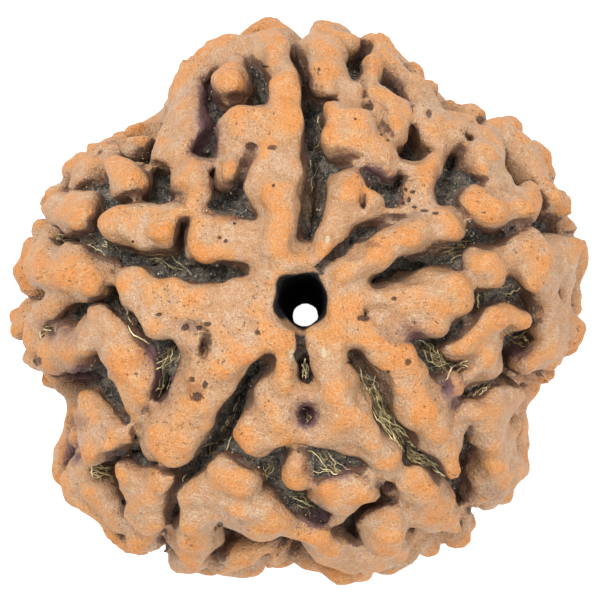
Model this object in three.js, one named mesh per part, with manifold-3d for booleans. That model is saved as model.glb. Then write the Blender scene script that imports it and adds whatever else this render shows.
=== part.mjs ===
import * as THREE from 'three';
import Module from 'manifold-3d';

// One rudraksha seed, a stone that grew as a single piece, in millimetres. The hole runs up +Z,
// the seed rests on Z = 0, and +X is the direction of its greatest width.

// The envelope that the crests of the relief touch
const MIDDLE = 9.5;
const UPPER_POLE = 9.45;
const LOWER_POLE = 9.85;
const SQUARENESS = 2.35;
const SIGHT_DEPTH = 0.65;
const UPPER_PRESS = 0.68;
const PRESS_FROM = 2.5;
const UPRIGHT = 0.55;
const UPRIGHT_FROM = 0.6;
const EQUATOR_WIDTH = 0.42;
const FURTHEST_OUT = 0.985;
const SHARP_REACH = 4;
const SMOOTH_REACH = 22;

// The relief under the envelope
const FLOOR_DEPTH = 2.2;
const FLOOR_WAVINESS = 0.4;
const SHOULDER = 0.42;
const CROWN = 0.34;
const WALL_SLOPE = 0.08;
const LOBE_BLEND = 0.2;
const CUT_BLEND = 0.26;
const CUT_TAPER = 0.12;
const CREST_WAVINESS = 0.12;
const EDGE_WAVINESS = 0.13;
const NEAR_LOBE = 1.6;
const NEAR_CUT = 1.0;
const FAR_OUTSIDE = 1.5;

// The hole, from the mouth at the top to the narrow far end below
const MOUTH = [[-0.75, 0.95], [-1.0, -0.35], [0.2, -1.2], [1.1, -0.45], [1.1, 0.2], [0.6, 1.05]];
const THROAT = [0.22, -0.65];
const THROAT_RADIUS = 0.52;
const THROAT_HEIGHT = 4.5;
const MOUTH_HEIGHT = 16.5;
const LOWER_FLARE = 0.45;
const FLARE_HEIGHT = 2.5;
const MOUTH_ROUNDNESS = 0.16;
const MOUTH_FAR = 5.0;
const HOLE_BLEND = 0.35;
const COLLAR_MIDDLE = [0.11, -0.16];
const COLLAR_RADIUS = 1.75;
const COLLAR_WIDTH = 0.72;
const COLLAR_LEVEL = 0.12;
const COLLAR_STEPS = 12;

// Mesh, and a place well inside the solid
const CELL = 0.4;
const TRIANGLES = 11400;
const HEART = [5.0, 0.0, MIDDLE];

// Outline seen down the hole, counter-clockwise from the right. The envelope lies a little outside
// it, because the crests of the relief hardly reach the envelope.
const OUTLINE_GAIN = 0.11;
const OUTLINE = [
  [11.3, 0.4], [11.4, 1.4], [11.5, 2.6], [10.8, 3.1], [10.6, 3.4], [10.95, 4.1], [10.25, 4.9],
  [9.65, 5.95], [9.2, 6.9], [8.3, 7.25], [7.2, 7.5], [5.9, 8.1], [5.35, 8.75], [4.6, 9.55],
  [3.6, 10.4], [2.6, 10.8], [1.7, 11.0], [0.3, 11.0], [-0.15, 10.45], [-0.55, 11.0],
  [-1.4, 11.2], [-2.9, 10.55], [-3.8, 10.15], [-4.5, 9.6], [-5.3, 8.5], [-5.5, 7.5],
  [-6.25, 6.75], [-7.0, 6.8], [-8.15, 6.55], [-9.2, 5.8], [-9.6, 4.7], [-10.2, 4.35],
  [-10.6, 3.6], [-10.35, 2.9], [-11.0, 2.4], [-11.3, 1.4], [-11.1, 0.5], [-11.5, -0.15],
  [-11.5, -1.2], [-11.35, -2.25], [-10.5, -3.05], [-9.65, -3.6], [-9.35, -4.3], [-9.5, -5.2],
  [-9.6, -6.6], [-9.5, -7.7], [-9.0, -8.15], [-8.3, -8.7], [-7.9, -9.35], [-6.9, -10.0],
  [-6.3, -10.35], [-5.65, -9.9], [-5.35, -10.7], [-4.5, -11.05], [-3.1, -11.1],
  [-1.7, -10.85], [-0.45, -10.25], [0.75, -10.75], [1.7, -11.25], [3.5, -11.15],
  [4.8, -10.45], [5.3, -9.85], [6.5, -9.58], [6.95, -9.1], [6.85, -8.7], [7.25, -8.5],
  [8.35, -7.85], [9.1, -6.7], [9.05, -6.1], [9.15, -5.3], [8.95, -4.2], [9.62, -3.4],
  [10.3, -2.7], [11.2, -2.0], [11.25, -0.6],
];

// Lobes of the upper half. Each entry is how far the crest lies under the envelope, then points
// along the crest as [x, y, half width].
const LOBES = [
  // Between the left and the top seam
  [0.0, [-0.9, 2.2, 0.75], [-0.95, 3.4, 0.9], [-1.0, 4.5, 1.15], [-0.85, 5.5, 1.05],
    [-0.6, 6.6, 0.8], [-0.5, 7.6, 0.68], [-0.62, 8.4, 0.66], [-0.75, 9.3, 0.66]],
  [0.1, [-1.2, 7.0, 0.8], [-2.0, 7.05, 0.8], [-2.57, 6.57, 0.75], [-2.74, 5.6, 0.6],
    [-2.85, 4.85, 0.44]],
  [0.3, [-1.6, 6.4, 0.5], [-2.3, 6.2, 0.5]],
  [0.05, [-1.2, 1.7, 0.75], [-2.3, 2.3, 1.0], [-3.3, 2.65, 1.05], [-3.75, 2.35, 0.9]],
  [0.35, [-3.6, 3.15, 0.42], [-4.5, 3.5, 0.42], [-5.4, 3.4, 0.5]],
  [0.15, [-7.1, 2.95, 0.86], [-6.3, 2.9, 1.0], [-5.75, 2.8, 0.86]],
  [0.15, [-4.2, 3.8, 0.55], [-4.15, 4.5, 0.7], [-4.5, 4.9, 0.78]],
  [0.5, [-4.1, 5.2, 0.45], [-3.55, 5.5, 0.25]],
  [-0.3, [-6.95, 5.1, 0.68], [-6.8, 4.7, 0.74]],
  [0.25, [-9.1, 5.0, 0.85], [-8.5, 5.2, 1.0], [-8.0, 5.6, 0.9]],
  [0.2, [-8.2, 6.0, 0.65], [-7.3, 6.4, 0.7], [-6.5, 6.35, 0.6]],
  [0.15, [-9.7, 3.5, 0.95], [-8.8, 3.35, 1.0]],
  [0.1, [-3.9, 9.7, 0.75], [-2.7, 10.1, 0.95], [-1.5, 10.4, 1.05], [-0.85, 9.7, 0.8]],
  [0.15, [-3.0, 10.3, 0.7], [-2.1, 10.7, 0.75], [-1.2, 10.9, 0.8]],
  [0.0, [-2.78, 8.62, 0.84]],
  [0.4, [-2.7, 9.1, 0.6], [-2.5, 9.8, 0.6]],
  [0.1, [-4.45, 8.6, 0.8], [-4.65, 7.8, 1.05], [-4.85, 6.8, 1.3], [-5.2, 6.0, 0.95]],
  // Between the top and the right seam
  [0.0, [0.9, 1.9, 0.55], [1.35, 2.7, 0.58], [1.75, 3.6, 0.7], [2.0, 4.5, 0.84]],
  [0.1, [1.75, 3.6, 0.65], [2.7, 3.9, 0.7]],
  [0.0, [1.6, 0.9, 0.65], [2.5, 1.65, 0.75], [3.5, 2.1, 0.75], [4.9, 2.85, 0.92],
    [5.9, 2.95, 0.75]],
  [0.25, [4.9, 3.6, 0.65], [4.8, 4.5, 0.55], [5.2, 5.3, 0.55], [5.7, 5.95, 0.28]],
  [0.45, [4.9, 5.2, 0.4], [4.2, 5.35, 0.35]],
  [0.5, [3.05, 3.35, 0.32], [3.9, 3.5, 0.36], [4.6, 3.7, 0.4]],
  [0.05, [1.5, 7.25, 0.75], [2.0, 6.8, 1.0], [2.8, 6.1, 0.95], [3.4, 5.5, 0.65]],
  [0.12, [1.6, 6.5, 0.75], [2.3, 5.95, 0.8], [3.0, 5.5, 0.55]],
  [0.1, [0.85, 10.4, 0.92], [0.95, 9.5, 0.88], [1.3, 8.75, 0.75]],
  [0.3, [1.2, 8.7, 0.6], [2.0, 8.45, 0.5]],
  [0.35, [2.1, 8.2, 0.4], [2.0, 7.6, 0.5]],
  [0.15, [1.5, 10.6, 0.7], [2.5, 10.5, 0.55], [3.3, 10.1, 0.6]],
  [0.2, [3.3, 9.8, 0.42], [2.95, 9.3, 0.36], [2.7, 8.7, 0.33], [2.9, 8.1, 0.4]],
  [0.05, [3.55, 7.9, 0.8], [3.75, 7.2, 0.58], [3.82, 6.6, 0.3]],
  [0.15, [3.5, 9.8, 0.68], [4.4, 9.1, 0.8], [5.0, 8.1, 0.92], [5.4, 6.95, 1.12],
    [6.2, 6.85, 0.85]],
  [0.0, [7.35, 6.2, 1.05], [7.35, 5.55, 1.0], [7.75, 4.95, 0.75]],
  [0.1, [7.0, 3.85, 0.86], [8.1, 3.6, 0.95], [9.1, 3.85, 0.75]],
  [0.15, [8.3, 6.8, 0.8], [9.15, 6.0, 1.0], [9.7, 5.0, 1.0], [10.0, 4.1, 0.9]],
  // Between the right and the lower right seam
  [0.05, [1.7, -0.2, 0.55], [3.2, -0.15, 0.68], [4.6, 0.05, 0.95], [6.0, 0.2, 1.0]],
  [0.15, [4.6, 0.0, 0.8], [5.2, -0.75, 0.85]],
  [0.4, [3.3, -0.85, 0.45], [4.2, -1.15, 0.5]],
  [0.05, [1.6, -1.25, 0.6], [2.9, -1.6, 0.72], [3.9, -2.5, 0.95], [4.45, -3.5, 0.95],
    [5.1, -4.5, 1.0], [5.65, -5.4, 1.12], [5.8, -5.9, 0.95]],
  [0.0, [7.55, 1.4, 0.95]],
  [0.1, [7.6, 1.6, 0.8], [8.6, 1.85, 0.88], [9.6, 2.05, 0.85]],
  [0.15, [9.2, 1.7, 1.0], [10.0, 1.6, 1.2], [10.7, 1.6, 1.0]],
  [0.2, [9.9, 0.7, 0.85], [8.9, 1.4, 0.7]],
  [0.4, [11.0, 0.8, 0.7], [11.0, -0.8, 0.7]],
  [0.2, [8.8, -0.85, 0.5], [7.8, -0.75, 0.66], [7.0, -1.1, 0.75], [6.3, -1.8, 0.55]],
  [0.3, [7.3, -1.9, 0.92], [7.4, -2.7, 0.82], [6.8, -3.1, 0.55]],
  [0.12, [10.1, -0.6, 0.95], [10.0, -1.8, 1.15], [9.3, -2.4, 0.75]],
  [1.0, [9.3, -3.5, 0.5], [10.2, -3.0, 0.45]],
  [0.4, [5.95, -3.1, 0.38], [6.15, -3.7, 0.48]],
  [0.1, [8.5, -4.05, 0.92], [7.5, -4.3, 0.8]],
  [0.15, [7.0, -4.4, 0.7], [7.85, -5.0, 1.0], [7.95, -6.0, 1.05], [7.6, -7.0, 1.0],
    [7.3, -7.8, 0.75]],
  [0.3, [8.8, -5.0, 0.6], [8.85, -5.9, 0.7], [8.5, -6.9, 0.75]],
  // Between the lower right and the lower left seam
  [0.05, [-0.55, -1.9, 0.6], [-0.6, -3.2, 0.75], [-1.1, -4.5, 1.05], [-1.6, -5.3, 1.02]],
  [0.05, [0.95, -1.9, 0.62], [1.2, -3.0, 0.8], [1.6, -4.3, 1.05], [2.4, -5.4, 1.1],
    [3.35, -6.2, 0.75]],
  [0.25, [-0.6, -3.7, 0.6], [1.3, -3.7, 0.6]],
  [0.2, [-1.0, -5.2, 0.8], [0.3, -5.3, 0.62], [2.0, -5.3, 0.85]],
  [0.5, [-0.1, -6.3, 0.45], [-0.15, -6.95, 0.65]],
  [0.2, [0.95, -7.6, 0.6], [1.7, -7.8, 0.92], [2.55, -7.5, 0.65]],
  [0.25, [1.7, -7.8, 0.7], [1.55, -8.4, 0.6]],
  [0.15, [4.5, -7.4, 0.88], [5.1, -8.1, 1.1], [5.6, -8.8, 0.9]],
  [0.3, [5.5, -8.9, 0.7], [6.4, -9.3, 0.55]],
  [0.15, [3.75, -8.6, 0.65], [3.3, -9.2, 0.92], [3.4, -10.0, 1.1]],
  [0.5, [4.8, -10.0, 0.7]],
  [0.1, [-3.4, -6.9, 0.72], [-2.4, -7.2, 0.92]],
  [0.1, [-3.7, -7.7, 1.0], [-4.1, -8.6, 0.85]],
  [0.2, [-4.4, -9.5, 1.05], [-4.5, -10.3, 0.8]],
  [0.1, [-3.2, -8.2, 1.05], [-1.8, -8.6, 1.05], [-0.4, -9.2, 0.85]],
  [0.2, [0.6, -9.5, 0.85], [1.5, -10.1, 1.1], [2.6, -10.5, 0.9]],
  [0.45, [-2.6, -10.3, 0.8], [-1.5, -10.2, 0.8]],
  // Between the lower left and the left seam
  [0.0, [-1.5, 0.0, 0.92], [-3.0, -0.5, 1.05], [-4.5, -0.4, 1.1], [-5.5, -0.3, 1.22],
    [-6.3, 0.3, 0.98], [-6.85, 0.65, 0.62]],
  [0.15, [-3.0, -1.3, 0.95], [-4.1, -1.6, 1.0]],
  [0.05, [-1.6, -1.3, 0.85], [-2.8, -2.1, 0.98], [-3.55, -2.9, 1.22], [-4.1, -3.9, 1.1],
    [-4.7, -4.9, 1.15], [-5.2, -5.6, 1.08]],
  [0.15, [-8.2, -0.9, 0.72], [-7.6, -1.4, 0.8], [-7.0, -2.2, 0.92], [-6.6, -3.1, 0.88],
    [-6.55, -4.0, 0.72]],
  [0.45, [-7.0, -2.9, 0.4], [-7.65, -2.95, 0.34]],
  [0.15, [-8.3, -1.2, 0.65], [-9.2, -1.95, 0.85], [-9.8, -2.2, 0.85]],
  [0.4, [-11.0, -0.8, 0.65], [-10.9, -1.8, 0.65], [-10.5, -2.6, 0.5]],
  [0.1, [-10.3, 1.4, 1.0], [-9.5, 1.3, 1.1], [-8.5, 1.05, 1.02]],
  [0.4, [-9.5, 0.4, 0.6], [-10.0, -0.4, 0.6], [-10.8, -0.8, 0.55]],
  [0.2, [-8.6, -4.6, 1.1], [-8.3, -5.15, 1.25], [-8.25, -5.8, 0.95]],
  [0.2, [-8.1, -6.0, 0.65], [-7.4, -5.5, 0.75], [-6.8, -5.1, 0.5]],
  [0.1, [-5.45, -7.4, 0.86], [-6.2, -7.6, 0.92], [-6.8, -7.2, 0.7]],
  [0.15, [-6.0, -8.0, 0.98], [-6.1, -8.8, 0.98], [-6.2, -9.6, 0.75]],
  [0.2, [-8.5, -7.5, 0.68], [-7.9, -7.9, 0.82], [-7.4, -8.7, 0.88]],
  [0.5, [-9.3, -6.8, 0.7], [-9.2, -7.6, 0.65]],
];

// Short ridges at the outline, as [x, y, half width]
const RIM = [
  [11.3, 1.9, 0.9], [11.25, 0.3, 0.7], [11.1, -1.4, 0.9], [9.9, -3.2, 0.55], [9.05, -4.6, 0.7],
  [9.15, -5.9, 0.6], [8.9, -7.1, 0.8], [7.6, -8.2, 0.6], [6.7, -9.3, 0.6], [5.3, -10.0, 0.6],
  [4.1, -10.8, 0.8], [2.3, -11.1, 0.9], [0.6, -10.6, 0.6], [-1.0, -10.6, 0.5],
  [-2.6, -11.0, 0.9], [-4.8, -10.8, 0.8], [-6.5, -10.2, 0.7], [-7.9, -9.2, 0.6],
  [-9.1, -8.0, 0.8], [-9.7, -6.3, 0.8], [-9.5, -4.8, 0.6], [-10.4, -2.7, 0.6],
  [-11.45, -1.0, 0.9], [-11.2, 1.5, 0.8], [-10.5, 3.7, 0.6], [-9.4, 5.3, 0.7],
  [-8.0, 6.5, 0.8], [-6.3, 6.9, 0.5], [-5.4, 8.0, 0.7], [-4.5, 9.5, 0.6], [-3.2, 10.4, 0.8],
  [-1.2, 11.15, 0.8], [1.2, 11.1, 0.9], [3.2, 10.5, 0.7], [4.9, 9.0, 0.6], [6.6, 7.75, 0.6],
  [8.5, 7.15, 0.8], [9.8, 5.6, 0.7], [10.7, 4.0, 0.6],
];

// Seams of the upper half from the hole outwards, as [x, y, half width]
const SEAMS = [
  [[3.5, 1.0, 0.42], [4.2, 1.3, 0.52], [5.6, 1.7, 0.52], [6.8, 2.38, 0.34], [8.0, 2.6, 0.27],
    [9.2, 2.9, 0.24], [10.3, 3.08, 0.24]],
  [[0.45, 3.1, 0.48], [0.5, 3.6, 0.58], [0.65, 4.7, 0.52], [0.55, 6.3, 0.42],
    [0.42, 7.6, 0.38], [0.1, 9.0, 0.32], [-0.05, 10.3, 0.3]],
  [[-3.3, 1.15, 0.5], [-4.5, 1.25, 0.56], [-5.8, 1.35, 0.48], [-7.0, 1.7, 0.42],
    [-8.1, 2.15, 0.38], [-9.2, 2.45, 0.34], [-10.2, 2.68, 0.28]],
  [[-1.75, -2.95, 0.38], [-2.1, -3.5, 0.5], [-2.75, -4.7, 0.56], [-3.2, -5.6, 0.54],
    [-4.2, -6.75, 0.32], [-4.75, -7.7, 0.25], [-5.2, -8.6, 0.24], [-5.6, -9.7, 0.24]],
  [[2.6, -3.0, 0.36], [3.05, -3.8, 0.5], [3.67, -4.9, 0.46], [4.5, -6.0, 0.32],
    [5.6, -6.8, 0.27], [6.15, -7.7, 0.26], [6.65, -8.5, 0.26]],
];

// Depth of the seams, and between which distances from the hole it holds
const SEAM_DEPTHS = [[3.0, 0.0, 8.6], [1.9, 7.0, 12.0]];

// The shallower seams on the flank and underneath, with low ridges along both sides
const FLANK_TILTS = [84, 93, 102, 111, 120, 129, 138, 147, 156, 165];
const FLANK_DEPTHS = [0.7, 1.1, 0.7, 0.8, 0.7];
const FLANK_SEAM = 0.22;
const FLANK_WANDER = 0.07;
const WANDER_KEPT = 0.5;
const MARGIN_COUNTS = [6, 9];
const MARGIN_LEVELS = [0.1, 0.45];
const MARGIN_OFFSETS = [0.95, 1.25];
const MARGIN_WIDTHS = [0.5, 0.95];

// Clefts, slits and pits of the upper half. Each entry is the depth, then points as
// [x, y, half width].
const CLEFTS = [
  // Shallow inner ends of the seams
  [1.1, [2.75, 0.5, 0.16], [3.6, 1.0, 0.42]],
  [1.2, [0.35, 2.45, 0.2], [0.45, 3.2, 0.46]],
  [1.2, [-2.65, 0.95, 0.28], [-3.4, 1.15, 0.5]],
  [1.1, [-1.35, -2.3, 0.18], [-1.8, -3.05, 0.38]],
  [1.2, [2.1, -2.15, 0.25], [2.8, -2.8, 0.46], [3.4, -3.9, 0.5]],
  // Round the hole
  [0.55, [0.85, 1.2, 0.14], [1.2, 1.5, 0.14], [1.6, 1.85, 0.12]],
  [1.6, [0.2, -1.35, 0.14], [0.35, -2.6, 0.22], [0.4, -3.2, 0.14]],
  // Between the left and the top seam
  [2.4, [-4.75, 3.05, 0.12], [-4.85, 2.5, 0.28], [-4.85, 1.9, 0.34]],
  [2.5, [-2.05, 5.3, 0.18], [-2.4, 4.7, 0.3], [-3.2, 4.3, 0.3]],
  [2.2, [-2.6, 3.9, 0.25], [-1.9, 3.15, 0.15]],
  [2.4, [-5.75, 5.25, 0.2], [-5.6, 4.65, 0.36], [-5.75, 4.3, 0.25]],
  [1.2, [-7.85, 5.7, 0.15], [-7.72, 4.5, 0.2]],
  [2.6, [-1.65, 8.0, 0.28], [-1.65, 8.85, 0.28]],
  [2.6, [-3.6, 7.9, 0.33], [-3.4, 7.2, 0.33]],
  [1.4, [-7.6, 6.35, 0.12], [-7.0, 6.5, 0.12]],
  [0.5, [-5.5, 6.85, 0.14]],
  [1.3, [-3.5, 3.05, 0.12], [-3.3, 2.72, 0.16]],
  // Between the top and the right seam
  [2.2, [1.4, 5.3, 0.25], [2.0, 5.45, 0.14], [3.1, 5.0, 0.26], [3.6, 4.5, 0.35],
    [3.8, 3.8, 0.25]],
  [1.5, [2.5, 2.75, 0.18], [3.05, 2.92, 0.2]],
  [1.2, [3.65, 3.22, 0.15], [4.0, 3.3, 0.15]],
  [2.6, [5.75, 4.2, 0.26], [6.05, 5.1, 0.28]],
  [2.2, [5.95, 4.0, 0.15], [6.45, 3.4, 0.14], [6.95, 2.9, 0.16]],
  [3.4, [6.15, 5.3, 0.3], [6.3, 5.85, 0.28]],
  [0.7, [6.5, 6.0, 0.16], [6.75, 6.5, 0.14], [7.1, 7.0, 0.14]],
  [2.3, [6.5, 5.0, 0.2], [7.3, 4.82, 0.18], [7.65, 4.75, 0.1]],
  [1.8, [8.5, 4.7, 0.22], [9.2, 4.55, 0.18], [9.7, 4.3, 0.14]],
  [0.8, [8.7, 6.2, 0.16], [8.85, 5.2, 0.18]],
  [2.8, [2.15, 9.15, 0.32], [2.6, 9.85, 0.32]],
  [2.8, [3.35, 8.9, 0.34], [4.0, 8.75, 0.32]],
  [1.6, [0.75, 8.0, 0.16], [1.4, 8.15, 0.14]],
  [1.0, [3.4, 7.2, 0.1], [2.7, 8.1, 0.1]],
  [1.4, [2.45, 4.05, 0.14], [2.5, 3.65, 0.2]],
  // Between the right and the lower right seam
  [2.4, [7.5, 0.35, 0.16], [7.1, -0.1, 0.22], [6.6, -0.7, 0.24], [6.1, -1.3, 0.28],
    [5.2, -2.0, 0.3]],
  [2.4, [9.0, -0.1, 0.18], [9.9, -0.4, 0.14]],
  [2.4, [8.1, -1.2, 0.15], [8.9, -1.6, 0.2], [8.6, -2.0, 0.26]],
  [2.4, [5.5, -2.7, 0.18], [5.6, -3.7, 0.14]],
  [2.4, [6.6, -3.9, 0.2], [7.3, -3.5, 0.28], [8.3, -3.1, 0.3], [9.1, -3.3, 0.24]],
  [2.2, [6.75, -4.8, 0.15], [6.95, -5.3, 0.14], [6.75, -6.6, 0.14]],
  [1.2, [2.3, -0.62, 0.18], [2.8, -0.78, 0.18]],
  [0.4, [4.1, -1.0, 0.16], [4.7, -1.2, 0.22]],
  // Between the lower right and the lower left seam
  [2.4, [-3.2, -5.8, 0.25], [-2.2, -6.4, 0.25], [-1.2, -6.9, 0.25], [-0.4, -7.7, 0.25],
    [0.4, -8.1, 0.25], [0.8, -8.7, 0.15]],
  [2.0, [3.1, -7.0, 0.25], [3.8, -8.2, 0.18]],
  [2.4, [2.2, -8.75, 0.2], [2.3, -9.7, 0.18]],
  [2.2, [0.2, -4.3, 0.22], [0.2, -4.9, 0.22]],
  [1.4, [1.5, -6.9, 0.25]],
  [2.0, [4.68, -8.95, 0.24]],
  [1.2, [-3.1, -9.45, 0.14], [-2.2, -9.5, 0.2], [-1.2, -9.6, 0.16]],
  // Between the lower left and the left seam
  [2.4, [-7.5, 0.1, 0.2], [-8.5, -0.1, 0.18], [-9.6, -0.9, 0.16], [-10.3, -1.3, 0.16]],
  [2.4, [-7.2, 1.0, 0.15], [-7.2, 0.0, 0.22], [-6.7, -0.95, 0.24], [-5.7, -2.2, 0.28],
    [-5.4, -3.2, 0.2]],
  [2.6, [-9.3, -3.3, 0.3], [-8.6, -2.9, 0.32], [-8.0, -2.6, 0.28]],
  [2.4, [-8.0, -3.2, 0.34], [-7.3, -3.8, 0.3], [-6.9, -4.8, 0.26], [-6.5, -5.4, 0.24]],
  [2.4, [-9.0, -6.4, 0.24], [-8.0, -6.65, 0.26], [-6.9, -6.15, 0.28], [-6.2, -6.4, 0.24],
    [-5.4, -6.75, 0.24], [-4.7, -6.8, 0.28]],
  [0.6, [-3.75, -1.45, 0.16], [-3.85, -2.0, 0.22]],
  [0.3, [-4.7, -0.95, 0.16], [-4.3, -0.9, 0.2]],
  [0.35, [-1.75, -1.35, 0.13]],
  [1.2, [-7.0, -8.1, 0.16]],
];

// The rest of the relief grows by a rule from a seed number. A pair of numbers is a range that a
// random draw picks from.
const GROWTH = 20;
const RIM_TILTS = [82, 97];
const RIM_REACHES = [0.042, 0.14];
const RIM_BENDS = [-0.02, 0.02];
const RIM_TAPER = 0.8;
const RIM_LEVEL = 0.02;
const KNOB_TRIES = 5000;
const KNOB_SPACINGS = [2.0, 2.94];
const KNOB_WIDTHS = [0.75, 1.15];
const KNOB_LEVELS = [0.0, 0.4];
const KNOB_ROOM = 0.7;
const SEAM_ROOM = 0.75;
const GROWN_BELOW = 4.6;
const LINK_REACH = 3.7;
const LINK_COUNTS = [1, 3];
const LINK_WIDTHS = [0.5, 0.85];
const LINK_LEVELS = [0.0, 0.25];
const LINK_SHIFTS = [-0.25, 0.25];
const LINK_TAPER = 0.9;
const RAY_COUNTS = [3, 6];
const RAY_BREADTHS = [0.85, 1.25];
const RAY_DRIFTS = [-0.09, 0.21];
const RAY_SHIFTS = [-0.17, 0.17];
const RAY_CHANGES = [0.88, 1.12];
const RAY_LEVELS = [0.0, 0.3];
const RAY_OFFSETS = [1.0, 1.3, 1.5, 1.65, 1.8];
const RAY_DISTANCES = [1.9, 3.0, 4.2, 5.3, 6.3];
const RAY_WIDTHS = [0.65, 0.85, 0.95, 1.0, 0.8];

function randomStream(start) {
  let state = start;
  return () => {
    state = (Math.imul(state, 1664525) + 1013904223) >>> 0;
    return state / 4294967296;
  };
}

function pick(draw, [low, high]) {
  return low + (high - low) * draw();
}

// Smooth noise between about -1 and 1: a sum of waves in directions spread over the sphere
function waves(start, count, shortest, longest) {
  const draw = randomStream(start);
  const set = [];
  for (let i = 0; i < count; i += 1) {
    const up = 2 * draw() - 1;
    const turn = 2 * Math.PI * draw();
    const pace = (2 * Math.PI) / (shortest + (longest - shortest) * draw());
    const flat = Math.sqrt(1 - up * up);
    set.push([
      pace * flat * Math.cos(turn), pace * flat * Math.sin(turn), pace * up, 2 * Math.PI * draw(),
    ]);
  }
  const scale = 1 / Math.sqrt(count);
  return (x, y, z) => {
    let sum = 0;
    for (const [a, b, c, phase] of set) sum += Math.sin(a * x + b * y + c * z + phase);
    return sum * scale;
  };
}

const crestNoise = waves(3, 9, 1.8, 4.2);
const floorNoise = waves(5, 9, 2.2, 5.0);
const edgeNoise = [waves(7, 8, 1.3, 3.0), waves(11, 8, 1.3, 3.0), waves(13, 8, 1.3, 3.0)];

// Half width of the envelope by angle, sharp and smoothed
const RIM_STEPS = 720;

function rimTables() {
  const points = OUTLINE
    .map(([x, y]) => [
      (Math.atan2(y, x) + 2 * Math.PI) % (2 * Math.PI), Math.hypot(x, y) + OUTLINE_GAIN,
    ])
    .sort((a, b) => a[0] - b[0]);
  const sharp = [];
  for (let i = 0; i < RIM_STEPS; i += 1) {
    const angle = (2 * Math.PI * i) / RIM_STEPS;
    let next = points.findIndex((point) => point[0] > angle);
    if (next < 0) next = 0;
    const [fromAngle, fromRadius] = points[(next + points.length - 1) % points.length];
    const [toAngle, toRadius] = points[next];
    const gap = (toAngle - fromAngle + 2 * Math.PI) % (2 * Math.PI);
    const part = ((angle - fromAngle + 2 * Math.PI) % (2 * Math.PI)) / gap;
    sharp.push(fromRadius + (toRadius - fromRadius) * part);
  }
  const average = (table, reach) => table.map((_, i) => {
    let sum = 0;
    for (let k = -reach; k <= reach; k += 1) sum += table[(i + k + RIM_STEPS) % RIM_STEPS];
    return sum / (2 * reach + 1);
  });
  return {
    sharp: average(sharp, SHARP_REACH),
    smooth: average(average(sharp, SMOOTH_REACH), SMOOTH_REACH),
  };
}

const rim = rimTables();

function envelopeRadius(x, y, z) {
  const step = (((Math.atan2(y, x) / (2 * Math.PI)) + 1) % 1) * RIM_STEPS;
  const index = Math.floor(step) % RIM_STEPS;
  const part = step - Math.floor(step);
  const at = (table) => table[index] * (1 - part) + table[(index + 1) % RIM_STEPS] * part;
  const equator = Math.exp(-((z / EQUATOR_WIDTH) ** 2));
  const half = at(rim.smooth) * (1 - equator) + at(rim.sharp) * equator;
  const across = Math.hypot(x, y) / half;
  const along = Math.abs(z) / (z > 0 ? UPPER_POLE : LOWER_POLE);
  return (across ** SQUARENESS + along ** SQUARENESS) ** (-1 / SQUARENESS);
}

// The envelope point straight outwards through a point given from the middle of the seed
function onEnvelope(x, y, z) {
  const length = Math.hypot(x, y, z);
  const radius = envelopeRadius(x / length, y / length, z / length);
  return [(x / length) * radius, (y / length) * radius, (z / length) * radius];
}

// The envelope point that a place under the envelope belongs to, given its outward direction. It
// lies straight outwards, but more upwards on the upper half, so that walls there stand upright.
function skinPoint(x, y, z, depth) {
  const reach = envelopeRadius(x, y, z);
  const rise = Math.min(1, Math.max(0, z / UPRIGHT_FROM));
  const upright = UPRIGHT * rise * rise * (3 - 2 * rise);
  const shrink = 1 - (upright * Math.max(0, depth)) / reach;
  const height = z > 0 ? Math.sqrt(1 - (1 - z * z) * shrink * shrink) : z;
  return onEnvelope(x * shrink, y * shrink, height);
}

// The envelope point for a place that the plan shows. The middle of a lobe or cleft, as seen from
// above, lies a little under the envelope, so it comes out further down the side than the place.
function fromPlan(x, y, side) {
  const index = Math.round((((Math.atan2(y, x) / (2 * Math.PI)) + 1) % 1) * RIM_STEPS) % RIM_STEPS;
  const out = Math.hypot(x, y) / (rim.smooth[index] - SIGHT_DEPTH);
  const share = Math.min(FURTHEST_OUT, out);
  const pole = (side > 0 ? UPPER_POLE : LOWER_POLE) - SIGHT_DEPTH;
  const z = side * pole * (1 - share ** SQUARENESS) ** (1 / SQUARENESS);
  const length = Math.hypot(x, y, z);
  return skinPoint(x / length, y / length, z / length, SIGHT_DEPTH);
}

// Distances over the upper half are taken with its height pressed, as the plan foreshortens it
function pressed([x, y, z]) {
  return [x, y, z > PRESS_FROM ? PRESS_FROM + (z - PRESS_FROM) * UPPER_PRESS : z];
}

// A stroke is a chain of envelope points with half widths, and a ball round all of it
function stroke(level, chain) {
  const points = chain.map(([x, y, z, half]) => [...pressed([x, y, z]), half]);
  const middle = [0, 1, 2].map((i) => points.reduce((sum, p) => sum + p[i], 0) / points.length);
  const reach = Math.max(...points.map(
    (p) => Math.hypot(p[0] - middle[0], p[1] - middle[1], p[2] - middle[2]) + p[3],
  ));
  return { level, points, middle, reach };
}

// Distance from an envelope point to a stroke: past its edge, and as a share of its half width
function measure(item, x, y, z) {
  const { points } = item;
  let edge = Infinity;
  let share = 0;
  for (let i = 0; i < Math.max(1, points.length - 1); i += 1) {
    const a = points[i];
    const b = points[Math.min(i + 1, points.length - 1)];
    const ux = b[0] - a[0];
    const uy = b[1] - a[1];
    const uz = b[2] - a[2];
    const square = ux * ux + uy * uy + uz * uz;
    const along = (x - a[0]) * ux + (y - a[1]) * uy + (z - a[2]) * uz;
    const part = square > 0 ? Math.min(1, Math.max(0, along / square)) : 0;
    const away = Math.hypot(x - a[0] - ux * part, y - a[1] - uy * part, z - a[2] - uz * part);
    const half = a[3] + (b[3] - a[3]) * part;
    if (away - half < edge) {
      edge = away - half;
      share = away / half;
    }
  }
  return [edge, share];
}

const traced = LOBES.map(([drop, ...points]) => stroke(
  drop,
  points.map(([x, y, half]) => [...fromPlan(x, y, 1), half]),
));

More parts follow.
